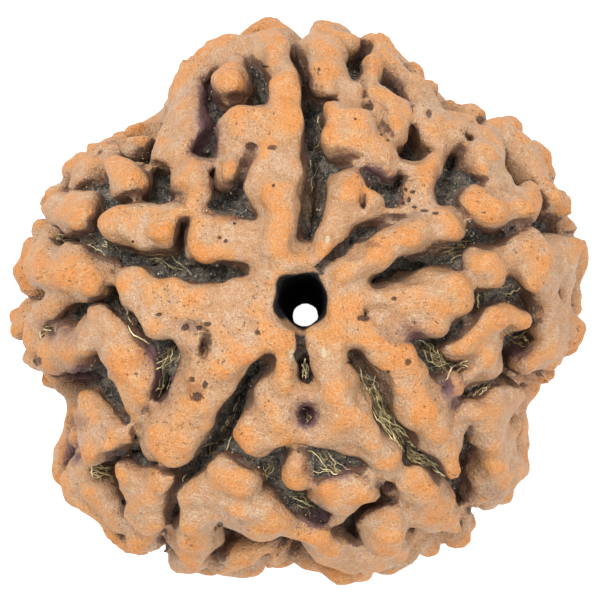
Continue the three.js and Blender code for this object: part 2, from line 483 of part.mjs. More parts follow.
const seamAngles = SEAMS.map((points) => Math.atan2(points.at(-1)[1], points.at(-1)[0]));

// How far each seam wanders sideways as it runs on down the flank to the lower end of the hole
function flankTurns() {
  const draw = randomStream(GROWTH + 1);
  return seamAngles.map((angle) => {
    let wander = 0;
    return FLANK_TILTS.map(() => {
      wander = WANDER_KEPT * wander + FLANK_WANDER * (2 * draw() - 1);
      return angle + wander;
    });
  });
}

const seamTurns = flankTurns();

function atTilt(tilt, turn) {
  const polar = (tilt * Math.PI) / 180;
  const flat = Math.sin(polar);
  return onEnvelope(flat * Math.cos(turn), flat * Math.sin(turn), Math.cos(polar));
}

// Each seam is deepest near the hole, and a shallow groove down the flank and underneath
function seamStrokes() {
  return SEAMS.flatMap((places, i) => {
    const upper = places.map(([x, y, half]) => [...fromPlan(x, y, 1), half]);
    const within = (from, to) => upper.filter((_, k) => {
      const along = Math.hypot(places[k][0], places[k][1]);
      return along > from && along < to;
    });
    const deep = SEAM_DEPTHS.map(([depth, from, to]) => stroke(depth, within(from, to)));
    const lower = FLANK_TILTS.map((tilt, k) => [...atTilt(tilt, seamTurns[i][k]), FLANK_SEAM]);
    return [...deep, stroke(FLANK_DEPTHS[i], [upper.at(-1), ...lower])];
  });
}

const seams = seamStrokes();

// Low uneven ridges along both sides of every seam down the flank
function seamMargins() {
  const draw = randomStream(GROWTH + 4);
  return seamTurns.flatMap((turns) => [-1, 1].map((side) => {
    const count = Math.floor(pick(draw, MARGIN_COUNTS));
    const level = pick(draw, MARGIN_LEVELS);
    const chain = FLANK_TILTS.slice(0, count).map((tilt, k) => {
      const offset = side * pick(draw, MARGIN_OFFSETS);
      const at = atTilt(tilt, turns[k]);
      const turn = turns[k] + offset / Math.hypot(at[0], at[1]);
      return [...atTilt(tilt, turn), pick(draw, MARGIN_WIDTHS)];
    });
    return stroke(level, chain);
  }));
}

const clefts = CLEFTS.map(([depth, ...points]) => stroke(
  depth,
  points.map(([x, y, half]) => [...fromPlan(x, y, 1), half]),
));

// Which of the five segments between the seams an envelope point lies in
function segmentOf(point) {
  const turn = (a, b) => (a - b + 4 * Math.PI) % (2 * Math.PI);
  const angle = Math.atan2(point[1], point[0]);
  let best = 0;
  for (let i = 1; i < seamAngles.length; i += 1) {
    if (turn(angle, seamAngles[i]) < turn(angle, seamAngles[best])) best = i;
  }
  return best;
}

// Short ridges along the outline, each in a direction of its own
function rimRidges() {
  const draw = randomStream(GROWTH + 3);
  return RIM.map(([x, y, half]) => {
    const polar = (pick(draw, RIM_TILTS) * Math.PI) / 180;
    const turn = Math.atan2(y, x);
    const heading = Math.PI * draw();
    const reach = pick(draw, RIM_REACHES);
    const chain = [-1, 0, 1].map((way) => {
      const tilt = polar + way * reach * Math.cos(heading);
      const bend = way * way * pick(draw, RIM_BENDS);
      const angle = turn + way * reach * Math.sin(heading) + bend;
      const flat = Math.sin(tilt);
      return [
        ...onEnvelope(flat * Math.cos(angle), flat * Math.sin(angle), Math.cos(tilt)),
        half * (way === 0 ? 1 : RIM_TAPER),
      ];
    });
    return stroke(RIM_LEVEL, chain);
  });
}

// Two rays beside each seam on the underside, as on the upper side
function lowerRays() {
  const draw = randomStream(GROWTH + 2);
  const rays = [];
  for (const angle of seamAngles) {
    for (const side of [-1, 1]) {
      const count = Math.floor(pick(draw, RAY_COUNTS));
      const breadth = pick(draw, RAY_BREADTHS);
      const drift = pick(draw, RAY_DRIFTS);
      const chain = RAY_DISTANCES.slice(0, count).map((distance, i) => {
        const offset = side * (RAY_OFFSETS[i] + drift * i + pick(draw, RAY_SHIFTS));
        const x = distance * Math.cos(angle) - offset * Math.sin(angle);
        const y = distance * Math.sin(angle) + offset * Math.cos(angle);
        return [...fromPlan(x, y, -1), RAY_WIDTHS[i] * breadth * pick(draw, RAY_CHANGES)];
      });
      rays.push(stroke(pick(draw, RAY_LEVELS), chain));
    }
  }
  return rays;
}

// Knobs over the flank and the underside, and ridges that link neighbours of one segment
function grownLobes(others) {
  const draw = randomStream(GROWTH);
  const knobs = [];
  const gap = (a, b) => Math.hypot(a[0] - b[0], a[1] - b[1], a[2] - b[2]);
  for (let i = 0; i < KNOB_TRIES; i += 1) {
    const up = 2 * draw() - 1;
    const turn = 2 * Math.PI * draw();
    const spacing = pick(draw, KNOB_SPACINGS);
    const half = pick(draw, KNOB_WIDTHS);
    const drop = pick(draw, KNOB_LEVELS);
    const flat = Math.sqrt(1 - up * up);
    const point = onEnvelope(flat * Math.cos(turn), flat * Math.sin(turn), up);
    const at = pressed(point);
    const clear = (items, room) => items.every((item) => measure(item, ...at)[0] > room);
    if (
      point[2] < GROWN_BELOW
      && knobs.every((knob) => gap(knob.point, point) > spacing)
      && clear(others, KNOB_ROOM) && clear(seams, SEAM_ROOM)
    ) knobs.push({ point, half, drop, segment: segmentOf(point) });
  }
  const lobes = knobs.map((knob) => stroke(knob.drop, [[...knob.point, knob.half]]));
  knobs.forEach((knob, i) => {
    const near = knobs
      .map((other, j) => ({ other, j, away: gap(knob.point, other.point) }))
      .filter(({ other, j, away }) => (
        j !== i && away < LINK_REACH && other.segment === knob.segment
      ))
      .sort((a, b) => a.away - b.away);
    const links = Math.floor(pick(draw, LINK_COUNTS));
    for (const { other } of near.slice(0, links)) {
      const half = pick(draw, LINK_WIDTHS);
      const drop = Math.max(knob.drop, other.drop) + pick(draw, LINK_LEVELS);
      const middle = onEnvelope(...[0, 1, 2].map(
        (k) => knob.point[k] + other.point[k] + pick(draw, LINK_SHIFTS),
      ));
      lobes.push(stroke(drop, [
        [...knob.point, knob.half * LINK_TAPER],
        [...middle, half],
        [...other.point, other.half * LINK_TAPER],
      ]));
    }
  });
  return lobes;
}

// The collar round each end of the hole
function collar(side) {
  const ring = [];
  for (let i = 0; i <= COLLAR_STEPS; i += 1) {
    const turn = (2 * Math.PI * i) / COLLAR_STEPS;
    const x = COLLAR_MIDDLE[0] + COLLAR_RADIUS * Math.cos(turn);
    const y = COLLAR_MIDDLE[1] + COLLAR_RADIUS * Math.sin(turn);
    ring.push([...fromPlan(x, y, side), COLLAR_WIDTH]);
  }
  return stroke(COLLAR_LEVEL, ring);
}

const shaped = [...traced, ...seamMargins(), ...rimRidges(), ...lowerRays()];
const lobes = [...shaped, collar(1), collar(-1), ...grownLobes(shaped)];
const cuts = [...seams, ...clefts];

function smoothMin(a, b, width) {
  const h = Math.max(width - Math.abs(a - b), 0) / width;
  return Math.min(a, b) - (h * h * width) / 4;
}

// Distance past the wall of the hole, negative inside it
function holeDistance(x, y, z) {
  const down = Math.min(1, Math.max(0, (MOUTH_HEIGHT - z) / (MOUTH_HEIGHT - THROAT_HEIGHT)));
  let mouth = 0;
  for (let i = 0; i < MOUTH.length; i += 1) {
    const [ax, ay] = MOUTH[i];
    const [bx, by] = MOUTH[(i + 1) % MOUTH.length];
    const length = Math.hypot(bx - ax, by - ay);
    const side = ((by - ay) * (x - ax) - (bx - ax) * (y - ay)) / length;
    mouth += Math.exp(Math.min(side, MOUTH_FAR) / MOUTH_ROUNDNESS);
  }
  mouth = MOUTH_ROUNDNESS * Math.log(mouth);
  const flare = LOWER_FLARE * Math.max(0, 1 - z / FLARE_HEIGHT) ** 2;
  const throat = Math.hypot(x - THROAT[0], y - THROAT[1]) - THROAT_RADIUS - flare;
  return mouth * (1 - down) + throat * down;
}

// Signed distance, near enough, to the surface of the seed
function field(px, py, pz) {
  const x = px + EDGE_WAVINESS * edgeNoise[0](px, py, pz);
  const y = py + EDGE_WAVINESS * edgeNoise[1](px, py, pz);
  const z = pz - MIDDLE + EDGE_WAVINESS * edgeNoise[2](px, py, pz);
  const radius = Math.max(0.01, Math.hypot(x, y, z));
  const reach = envelopeRadius(x / radius, y / radius, z / radius);
  const depth = reach - radius + CREST_WAVINESS * crestNoise(px, py, pz);
  if (depth < -FAR_OUTSIDE) return -depth;
  const [ex, ey, ez] = pressed(skinPoint(x / radius, y / radius, z / radius, depth));
  let body = FLOOR_DEPTH + FLOOR_WAVINESS * floorNoise(px, py, pz) - depth;
  for (const lobe of lobes) {
    const [mx, my, mz] = lobe.middle;
    if (Math.hypot(ex - mx, ey - my, ez - mz) > lobe.reach + NEAR_LOBE) continue;
    const [edge, share] = measure(lobe, ex, ey, ez);
    const under = depth - lobe.level - CROWN * Math.min(1, share) ** 2;
    const out = edge - WALL_SLOPE * Math.max(0, under) + SHOULDER;
    const over = SHOULDER - under;
    const corner = Math.hypot(Math.max(out, 0), Math.max(over, 0));
    const value = corner + Math.min(Math.max(out, over), 0) - SHOULDER;
    body = smoothMin(body, value, LOBE_BLEND);
  }
  for (const cut of cuts) {
    const [mx, my, mz] = cut.middle;
    if (Math.hypot(ex - mx, ey - my, ez - mz) > cut.reach + NEAR_CUT) continue;
    const [edge] = measure(cut, ex, ey, ez);
    const inside = Math.max(edge + CUT_TAPER * depth, depth - cut.level);
    body = -smoothMin(-body, inside, CUT_BLEND);
  }
  return -smoothMin(-body, holeDistance(px, py, pz), HOLE_BLEND);
}

// The field sampled on a grid of points
const GRID_LOW = [-12.4, -12.4, -1.2];
const GRID_SIZE = [63, 63, 55];
const STEPS = [1, GRID_SIZE[0], GRID_SIZE[0] * GRID_SIZE[1]];
const CORNERS = [0, 1, 2, 3, 4, 5, 6, 7].map(
  (k) => (k & 1) * STEPS[0] + ((k >> 1) & 1) * STEPS[1] + (k >> 2) * STEPS[2],
);

function gridPoint(index) {
  const i = index % GRID_SIZE[0];
  const j = Math.floor(index / STEPS[1]) % GRID_SIZE[1];
  const k = Math.floor(index / STEPS[2]);
  return [GRID_LOW[0] + i * CELL, GRID_LOW[1] + j * CELL, GRID_LOW[2] + k * CELL];
}

function isCell(index) {
  const i = index % GRID_SIZE[0];
  const j = Math.floor(index / STEPS[1]) % GRID_SIZE[1];
  const k = Math.floor(index / STEPS[2]);
  return i < GRID_SIZE[0] - 1 && j < GRID_SIZE[1] - 1 && k < GRID_SIZE[2] - 1;
}

// Grid points joined to a first one without leaving points of the same kind
function flood(solid, first) {
  const reached = new Uint8Array(solid.length);
  const queue = [first];
  reached[first] = 1;
  while (queue.length) {
    const at = queue.pop();
    const i = at % GRID_SIZE[0];
    const j = Math.floor(at / STEPS[1]) % GRID_SIZE[1];
    const k = Math.floor(at / STEPS[2]);
    [i, j, k].forEach((place, axis) => {
      for (const way of [-1, 1]) {
        const next = at + way * STEPS[axis];
        const inside = place + way >= 0 && place + way < GRID_SIZE[axis];
        if (inside && !reached[next] && solid[next] === solid[first]) {
          reached[next] = 1;
          queue.push(next);
        }
      }
    });
  }
  return reached;
}

// A cell whose solid corners touch only across a diagonal would pinch the surface
function isPinched(mask) {
  const has = (corner) => (mask >> corner) & 1;
  const faces = [
    [0, 1, 3, 2], [4, 5, 7, 6], [0, 1, 5, 4], [2, 3, 7, 6], [0, 2, 6, 4], [1, 3, 7, 5],
  ];
  if (faces.some(([a, b, c, d]) => has(a) === has(c) && has(b) === has(d) && has(a) !== has(b))) {
    return true;
  }
  const odd = [mask, 255 - mask];
  return odd.some((set) => [0, 1, 2, 3].some((a) => set === (1 << a) + (1 << (7 - a))));
}

const PINCHED = Array.from({ length: 256 }, (_, mask) => isPinched(mask));

// One solid without floating crumbs, closed bubbles or pinched places
function cleanSolid(values) {
  const solid = Uint8Array.from(values, (value) => (value < 0 ? 1 : 0));
  const nudge = 0.05 * CELL;
  const setTo = (index, kind) => {
    solid[index] = kind;
    values[index] = kind ? -nudge : nudge;
  };
  const heart = solid.findIndex((kind, index) => {
    const [x, y, z] = gridPoint(index);
    return kind && Math.hypot(x - HEART[0], y - HEART[1], z - HEART[2]) < CELL;
  });
  let changed = true;
  while (changed) {
    changed = false;
    const body = flood(solid, heart);
    const air = flood(solid, 0);
    for (let index = 0; index < solid.length; index += 1) {
      if (solid[index] && !body[index]) setTo(index, 0);
      else if (!solid[index] && !air[index]) setTo(index, 1);
    }
    for (let index = 0; index < solid.length; index += 1) {
      if (!isCell(index)) continue;
      const mask = CORNERS.reduce((sum, step, k) => sum + (solid[index + step] << k), 0);
      if (!PINCHED[mask]) continue;
      const open = CORNERS.map((step) => index + step).filter((corner) => !solid[corner]);
      setTo(open.reduce((a, b) => (values[a] < values[b] ? a : b)), 1);
      changed = true;
    }
  }
  return solid;
}

// One vertex in every cell that the surface passes through, drawn onto the surface
function cellVertex(index, values, solid) {
  const base = gridPoint(index);
  const sum = [0, 0, 0];
  let count = 0;
  for (let a = 0; a < 8; a += 1) {
    for (let axis = 0; axis < 3; axis += 1) {
      const b = a | (1 << axis);
      const from = index + CORNERS[a];
      const to = index + CORNERS[b];
      if (a === b || solid[from] === solid[to]) continue;
      const part = values[from] / (values[from] - values[to]);
      for (let k = 0; k < 3; k += 1) {
        sum[k] += ((a >> k) & 1) + (k === axis ? part : 0);
      }
      count += 1;
    }
  }
  const point = sum.map((value, k) => base[k] + (CELL * value) / count);
  const small = 0.1 * CELL;
  const gentlest = 0.3;
  const rounds = 2;
  for (let round = 0; round < rounds; round += 1) {
    const here = field(...point);
    const slope = [0, 1, 2].map((k) => {
      const beside = [...point];
      beside[k] += small;
      return (field(...beside) - here) / small;
    });
    const square = Math.max(gentlest, slope[0] ** 2 + slope[1] ** 2 + slope[2] ** 2);
    for (let k = 0; k < 3; k += 1) {
      const moved = point[k] - (here * slope[k]) / square;
      point[k] = Math.min(base[k] + CELL, Math.max(base[k], moved));
    }
  }
  return point;
}

// Closed surface: two triangles for every grid edge that crosses it
function surface() {
  const total = GRID_SIZE[0] * GRID_SIZE[1] * GRID_SIZE[2];
  const values = Float64Array.from({ length: total }, (_, index) => field(...gridPoint(index)));
  const solid = cleanSolid(values);
  const vertexOf = new Map();
  const points = [];
  const faces = [];
  const vertex = (index) => {
    if (!vertexOf.has(index)) {
      vertexOf.set(index, points.length);
      points.push(cellVertex(index, values, solid));
    }
    return vertexOf.get(index);
  };
  const span = (a, b) => Math.hypot(
    points[a][0] - points[b][0], points[a][1] - points[b][1], points[a][2] - points[b][2],
  );
  for (let index = 0; index < total; index += 1) {
    if (!isCell(index)) continue;
    for (let axis = 0; axis < 3; axis += 1) {
      if (solid[index] === solid[index + STEPS[axis]]) continue;
      const one = STEPS[(axis + 1) % 3];
      const two = STEPS[(axis + 2) % 3];
      let ring = [index, index - one, index - one - two, index - two].map(vertex);
      if (!solid[index]) ring = ring.reverse();
      if (span(ring[0], ring[2]) < span(ring[1], ring[3])) {
        faces.push([ring[0], ring[1], ring[2]], [ring[0], ring[2], ring[3]]);
      } else {
        faces.push([ring[1], ring[2], ring[3]], [ring[1], ring[3], ring[0]]);
      }
    }
  }
  return { points, faces };
}

const subtract = (a, b) => [a[0] - b[0], a[1] - b[1], a[2] - b[2]];
const dot = (a, b) => a[0] * b[0] + a[1] * b[1] + a[2] * b[2];
const cross = (a, b) => [
  a[1] * b[2] - a[2] * b[1], a[2] * b[0] - a[0] * b[2], a[0] * b[1] - a[1] * b[0],
];

// Sum of squared distances to the planes of some faces, kept as ten numbers
function planeSquares(a, b, c) {
  const normal = cross(subtract(b, a), subtract(c, a));
  const area = Math.hypot(...normal);
  if (area === 0) return new Array(10).fill(0);
  const [x, y, z] = normal.map((value) => value / area);
  const w = -dot([x, y, z], a);
  return [x * x, x * y, x * z, x * w, y * y, y * z, y * w, z * z, z * w, w * w]
    .map((value) => value * area);
}

function squaresAt(q, [x, y, z]) {
  return q[0] * x * x + 2 * q[1] * x * y + 2 * q[2] * x * z + 2 * q[3] * x
    + q[4] * y * y + 2 * q[5] * y * z + 2 * q[6] * y + q[7] * z * z + 2 * q[8] * z + q[9];
}

// The place that fits both ends of an edge best
function bestPlace(q, a, b) {
  const middle = a.map((value, k) => (value + b[k]) / 2);
  const rows = [[q[0], q[1], q[2]], [q[1], q[4], q[5]], [q[2], q[5], q[7]]];
  const right = [-q[3], -q[6], -q[8]];
  const whole = dot(rows[0], cross(rows[1], rows[2]));
  const size = q[0] + q[4] + q[7];
  const flattest = 1e-3;
  if (Math.abs(whole) > flattest * size ** 3) {
    const best = [
      dot(right, cross(rows[1], rows[2])),
      dot(right, cross(rows[2], rows[0])),
      dot(right, cross(rows[0], rows[1])),
    ].map((value) => value / whole);
    if (Math.hypot(...subtract(best, middle)) < Math.hypot(...subtract(a, b))) return best;
  }
  return [middle, a, b].reduce((x, y) => (squaresAt(q, x) <= squaresAt(q, y) ? x : y));
}

// Fewer triangles, taking away those edges first whose loss changes the form least. No triangle
// may get slimmer or turn further than the limits say.
function thinOut(points, allFaces, target) {
  const lengthCost = 1e-4;
  const shareOfRound = 0.06;
  const slimmest = 0.12;
  const leastTurnCosine = 0.45;
  let faces = allFaces;
  const squares = points.map(() => new Array(10).fill(0));
  const addTo = (vertex, more) => more.forEach((value, k) => { squares[vertex][k] += value; });
  for (const face of faces) {
    const more = planeSquares(...face.map((vertex) => points[vertex]));
    face.forEach((vertex) => addTo(vertex, more));
  }
  while (faces.length > target) {
    const facesOf = points.map(() => []);
    faces.forEach((face) => face.forEach((vertex) => facesOf[vertex].push(face)));
    const edges = [];
    for (const face of faces) {
      for (let k = 0; k < 3; k += 1) {
        const a = face[k];
        const b = face[(k + 1) % 3];
        if (a > b) continue;
        const both = squares[a].map((value, i) => value + squares[b][i]);
        const place = bestPlace(both, points[a], points[b]);
        const length = Math.hypot(...subtract(points[a], points[b]));
        edges.push({ a, b, place, cost: squaresAt(both, place) + lengthCost * length });
      }
    }
    edges.sort((p, q) => p.cost - q.cost);
    const touched = new Uint8Array(points.length);
    const gone = new Set();
    const limit = Math.ceil(Math.min((faces.length - target) / 2, edges.length * shareOfRound));
    let done = 0;
    for (const { a, b, place } of edges) {
      if (done >= limit) break;
      if (touched[a] || touched[b]) continue;
      const ringA = new Set(facesOf[a].flat());
      const ringB = new Set(facesOf[b].flat());
      const shared = [...ringA].filter((vertex) => ringB.has(vertex)).length - 2;
      if (shared !== 2) continue;
      const around = [...facesOf[a], ...facesOf[b]]
        .filter((face) => !(face.includes(a) && face.includes(b)));
      const holds = around.every((face) => {
        const old = face.map((vertex) => points[vertex]);
        const now = face.map((vertex) => (vertex === a || vertex === b ? place : points[vertex]));
        const before = cross(subtract(old[1], old[0]), subtract(old[2], old[0]));
        const after = cross(subtract(now[1], now[0]), subtract(now[2], now[0]));
        const longest = Math.max(...now.map(
          (corner, k) => Math.hypot(...subtract(corner, now[(k + 1) % 3])),
        ));
        const area = Math.hypot(...after);
        return area > slimmest * longest ** 2
          && dot(before, after) > leastTurnCosine * Math.hypot(...before) * area;
      });
      if (!holds) continue;
      for (const vertex of [...ringA, ...ringB]) touched[vertex] = 1;
      points[a] = place;
      addTo(a, squares[b]);
      for (const face of facesOf[b]) {
        if (face.includes(a)) gone.add(face);
        else face[face.indexOf(b)] = a;
      }
      done += 1;
    }
    if (done === 0) break;
    faces = faces.filter((face) => !gone.has(face));
  }
  return faces;
}

const wasm = await Module();
wasm.setup();

function toSolid(vertProperties, triVerts) {
  const mesh = new wasm.Mesh({ numProp: 3, vertProperties, triVerts });
  return new wasm.Manifold(mesh);
}

// The lowest crests are cut level, so that the seed rests on them
function restingCut(solid) {
  const side = 30;
  const depth = 3;
  const box = new THREE.BoxGeometry(side, side, depth).translate(0, 0, -depth / 2);
  const places = box.getAttribute('position');
  const vertices = [];
  const indexOf = new Map();
  const cornerOf = [];
  for (let i = 0; i < places.count; i += 1) {
    const corner = [places.getX(i), places.getY(i), places.getZ(i)];
    const key = corner.join();
    if (!indexOf.has(key)) {
      indexOf.set(key, vertices.length / 3);
      vertices.push(...corner);
    }
    cornerOf.push(indexOf.get(key));
  }
  const triangles = Uint32Array.from(box.getIndex().array, (i) => cornerOf[i]);
  return solid.subtract(toSolid(Float32Array.from(vertices), triangles));
}

const { points, faces } = surface();
const used = thinOut(points, faces, TRIANGLES);
const numberOf = new Map();
const kept = [];
for (const vertex of used.flat()) {
  if (numberOf.has(vertex)) continue;
  numberOf.set(vertex, kept.length);
  kept.push(points[vertex]);
}
const seed = restingCut(toSolid(
  Float32Array.from(kept.flat()),
  Uint32Array.from(used.flat(), (vertex) => numberOf.get(vertex)),
)).getMesh();

const geometry = new THREE.BufferGeometry();
geometry.setAttribute('position', new THREE.BufferAttribute(seed.vertProperties, 3));
geometry.setIndex(new THREE.BufferAttribute(seed.triVerts, 1));
geometry.computeVertexNormals();

const skin = new THREE.MeshStandardMaterial({ color: 0xc68a58, roughness: 0.7, metalness: 0 });
const mesh = new THREE.Mesh(geometry, skin);
mesh.name = 'seed';
const group = new THREE.Group();
group.name = 'rudraksha_seed';
group.add(mesh);

export default group;
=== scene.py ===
"""A dried rudraksha seed with five seams, seen straight down its stringing hole."""
import math

import bpy
import numpy as np
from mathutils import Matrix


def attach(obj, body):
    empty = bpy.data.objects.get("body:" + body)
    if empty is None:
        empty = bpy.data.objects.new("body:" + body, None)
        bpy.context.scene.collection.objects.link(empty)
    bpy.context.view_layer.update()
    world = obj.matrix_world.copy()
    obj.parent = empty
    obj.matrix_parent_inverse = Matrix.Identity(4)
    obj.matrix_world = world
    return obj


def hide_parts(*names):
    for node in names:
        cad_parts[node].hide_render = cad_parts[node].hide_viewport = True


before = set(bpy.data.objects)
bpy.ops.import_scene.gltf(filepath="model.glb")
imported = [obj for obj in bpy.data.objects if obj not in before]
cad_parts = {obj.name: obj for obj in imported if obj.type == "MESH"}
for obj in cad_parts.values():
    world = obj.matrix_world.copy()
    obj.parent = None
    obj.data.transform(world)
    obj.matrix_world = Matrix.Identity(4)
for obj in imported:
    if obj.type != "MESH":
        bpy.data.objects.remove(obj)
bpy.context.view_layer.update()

# Sizes in mm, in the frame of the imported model
MIDDLE = 9.5
UPPER_POLE = 9.45
LOWER_POLE = 9.85
SQUARENESS = 2.35
SIGHT_DEPTH = 0.65
UPPER_PRESS = 0.68
PRESS_FROM = 2.5
UPRIGHT = 0.55
UPRIGHT_FROM = 0.6
EQUATOR_WIDTH = 0.42
FURTHEST_OUT = 0.985
SHARP_REACH = 4
SMOOTH_REACH = 22
FLOOR_DEPTH = 2.2
FLOOR_WAVINESS = 0.4
SHOULDER = 0.42
CROWN = 0.34
WALL_SLOPE = 0.08
LOBE_BLEND = 0.2
CUT_BLEND = 0.26
CUT_TAPER = 0.12
CREST_WAVINESS = 0.12
EDGE_WAVINESS = 0.13
NEAR_LOBE = 1.6
NEAR_CUT = 1.0
FAR_OUTSIDE = 1.5
MOUTH = [[-0.75, 0.95], [-1.0, -0.35], [0.2, -1.2], [1.1, -0.45], [1.1, 0.2], [0.6, 1.05]]
THROAT = [0.22, -0.65]
THROAT_RADIUS = 0.52
THROAT_HEIGHT = 4.5
MOUTH_HEIGHT = 16.5
LOWER_FLARE = 0.45
FLARE_HEIGHT = 2.5
MOUTH_ROUNDNESS = 0.16
MOUTH_FAR = 5.0
HOLE_BLEND = 0.35
COLLAR_MIDDLE = [0.11, -0.16]
COLLAR_RADIUS = 1.75
COLLAR_WIDTH = 0.72
COLLAR_LEVEL = 0.12
COLLAR_STEPS = 12
OUTLINE_GAIN = 0.11
SEAM_DEPTHS = [[3.0, 0.0, 8.6], [1.9, 7.0, 12.0]]
FLANK_TILTS = [84, 93, 102, 111, 120, 129, 138, 147, 156, 165]
FLANK_DEPTHS = [0.7, 1.1, 0.7, 0.8, 0.7]
FLANK_SEAM = 0.22
FLANK_WANDER = 0.07
WANDER_KEPT = 0.5
MARGIN_COUNTS = [6, 9]
MARGIN_LEVELS = [0.1, 0.45]
MARGIN_OFFSETS = [0.95, 1.25]
MARGIN_WIDTHS = [0.5, 0.95]
GROWTH = 20
RIM_TILTS = [82, 97]
RIM_REACHES = [0.042, 0.14]
RIM_BENDS = [-0.02, 0.02]
RIM_TAPER = 0.8
RIM_LEVEL = 0.02
KNOB_TRIES = 5000
KNOB_SPACINGS = [2.0, 2.94]
KNOB_WIDTHS = [0.75, 1.15]
KNOB_LEVELS = [0.0, 0.4]
KNOB_ROOM = 0.7
SEAM_ROOM = 0.75
GROWN_BELOW = 4.6
LINK_REACH = 3.7
LINK_COUNTS = [1, 3]
LINK_WIDTHS = [0.5, 0.85]
LINK_LEVELS = [0.0, 0.25]
LINK_SHIFTS = [-0.25, 0.25]
LINK_TAPER = 0.9
RAY_COUNTS = [3, 6]
RAY_BREADTHS = [0.85, 1.25]
RAY_DRIFTS = [-0.09, 0.21]
RAY_SHIFTS = [-0.17, 0.17]
RAY_CHANGES = [0.88, 1.12]
RAY_LEVELS = [0.0, 0.3]
RAY_OFFSETS = [1.0, 1.3, 1.5, 1.65, 1.8]
RAY_DISTANCES = [1.9, 3.0, 4.2, 5.3, 6.3]
RAY_WIDTHS = [0.65, 0.85, 0.95, 1.0, 0.8]

OUTLINE = [
  [11.3, 0.4], [11.4, 1.4], [11.5, 2.6], [10.8, 3.1], [10.6, 3.4], [10.95, 4.1], [10.25, 4.9],
  [9.65, 5.95], [9.2, 6.9], [8.3, 7.25], [7.2, 7.5], [5.9, 8.1], [5.35, 8.75], [4.6, 9.55],
  [3.6, 10.4], [2.6, 10.8], [1.7, 11.0], [0.3, 11.0], [-0.15, 10.45], [-0.55, 11.0],
  [-1.4, 11.2], [-2.9, 10.55], [-3.8, 10.15], [-4.5, 9.6], [-5.3, 8.5], [-5.5, 7.5],
  [-6.25, 6.75], [-7.0, 6.8], [-8.15, 6.55], [-9.2, 5.8], [-9.6, 4.7], [-10.2, 4.35],
  [-10.6, 3.6], [-10.35, 2.9], [-11.0, 2.4], [-11.3, 1.4], [-11.1, 0.5], [-11.5, -0.15],
  [-11.5, -1.2], [-11.35, -2.25], [-10.5, -3.05], [-9.65, -3.6], [-9.35, -4.3], [-9.5, -5.2],
  [-9.6, -6.6], [-9.5, -7.7], [-9.0, -8.15], [-8.3, -8.7], [-7.9, -9.35], [-6.9, -10.0],
  [-6.3, -10.35], [-5.65, -9.9], [-5.35, -10.7], [-4.5, -11.05], [-3.1, -11.1],
  [-1.7, -10.85], [-0.45, -10.25], [0.75, -10.75], [1.7, -11.25], [3.5, -11.15],
  [4.8, -10.45], [5.3, -9.85], [6.5, -9.58], [6.95, -9.1], [6.85, -8.7], [7.25, -8.5],
  [8.35, -7.85], [9.1, -6.7], [9.05, -6.1], [9.15, -5.3], [8.95, -4.2], [9.62, -3.4],
  [10.3, -2.7], [11.2, -2.0], [11.25, -0.6],
]

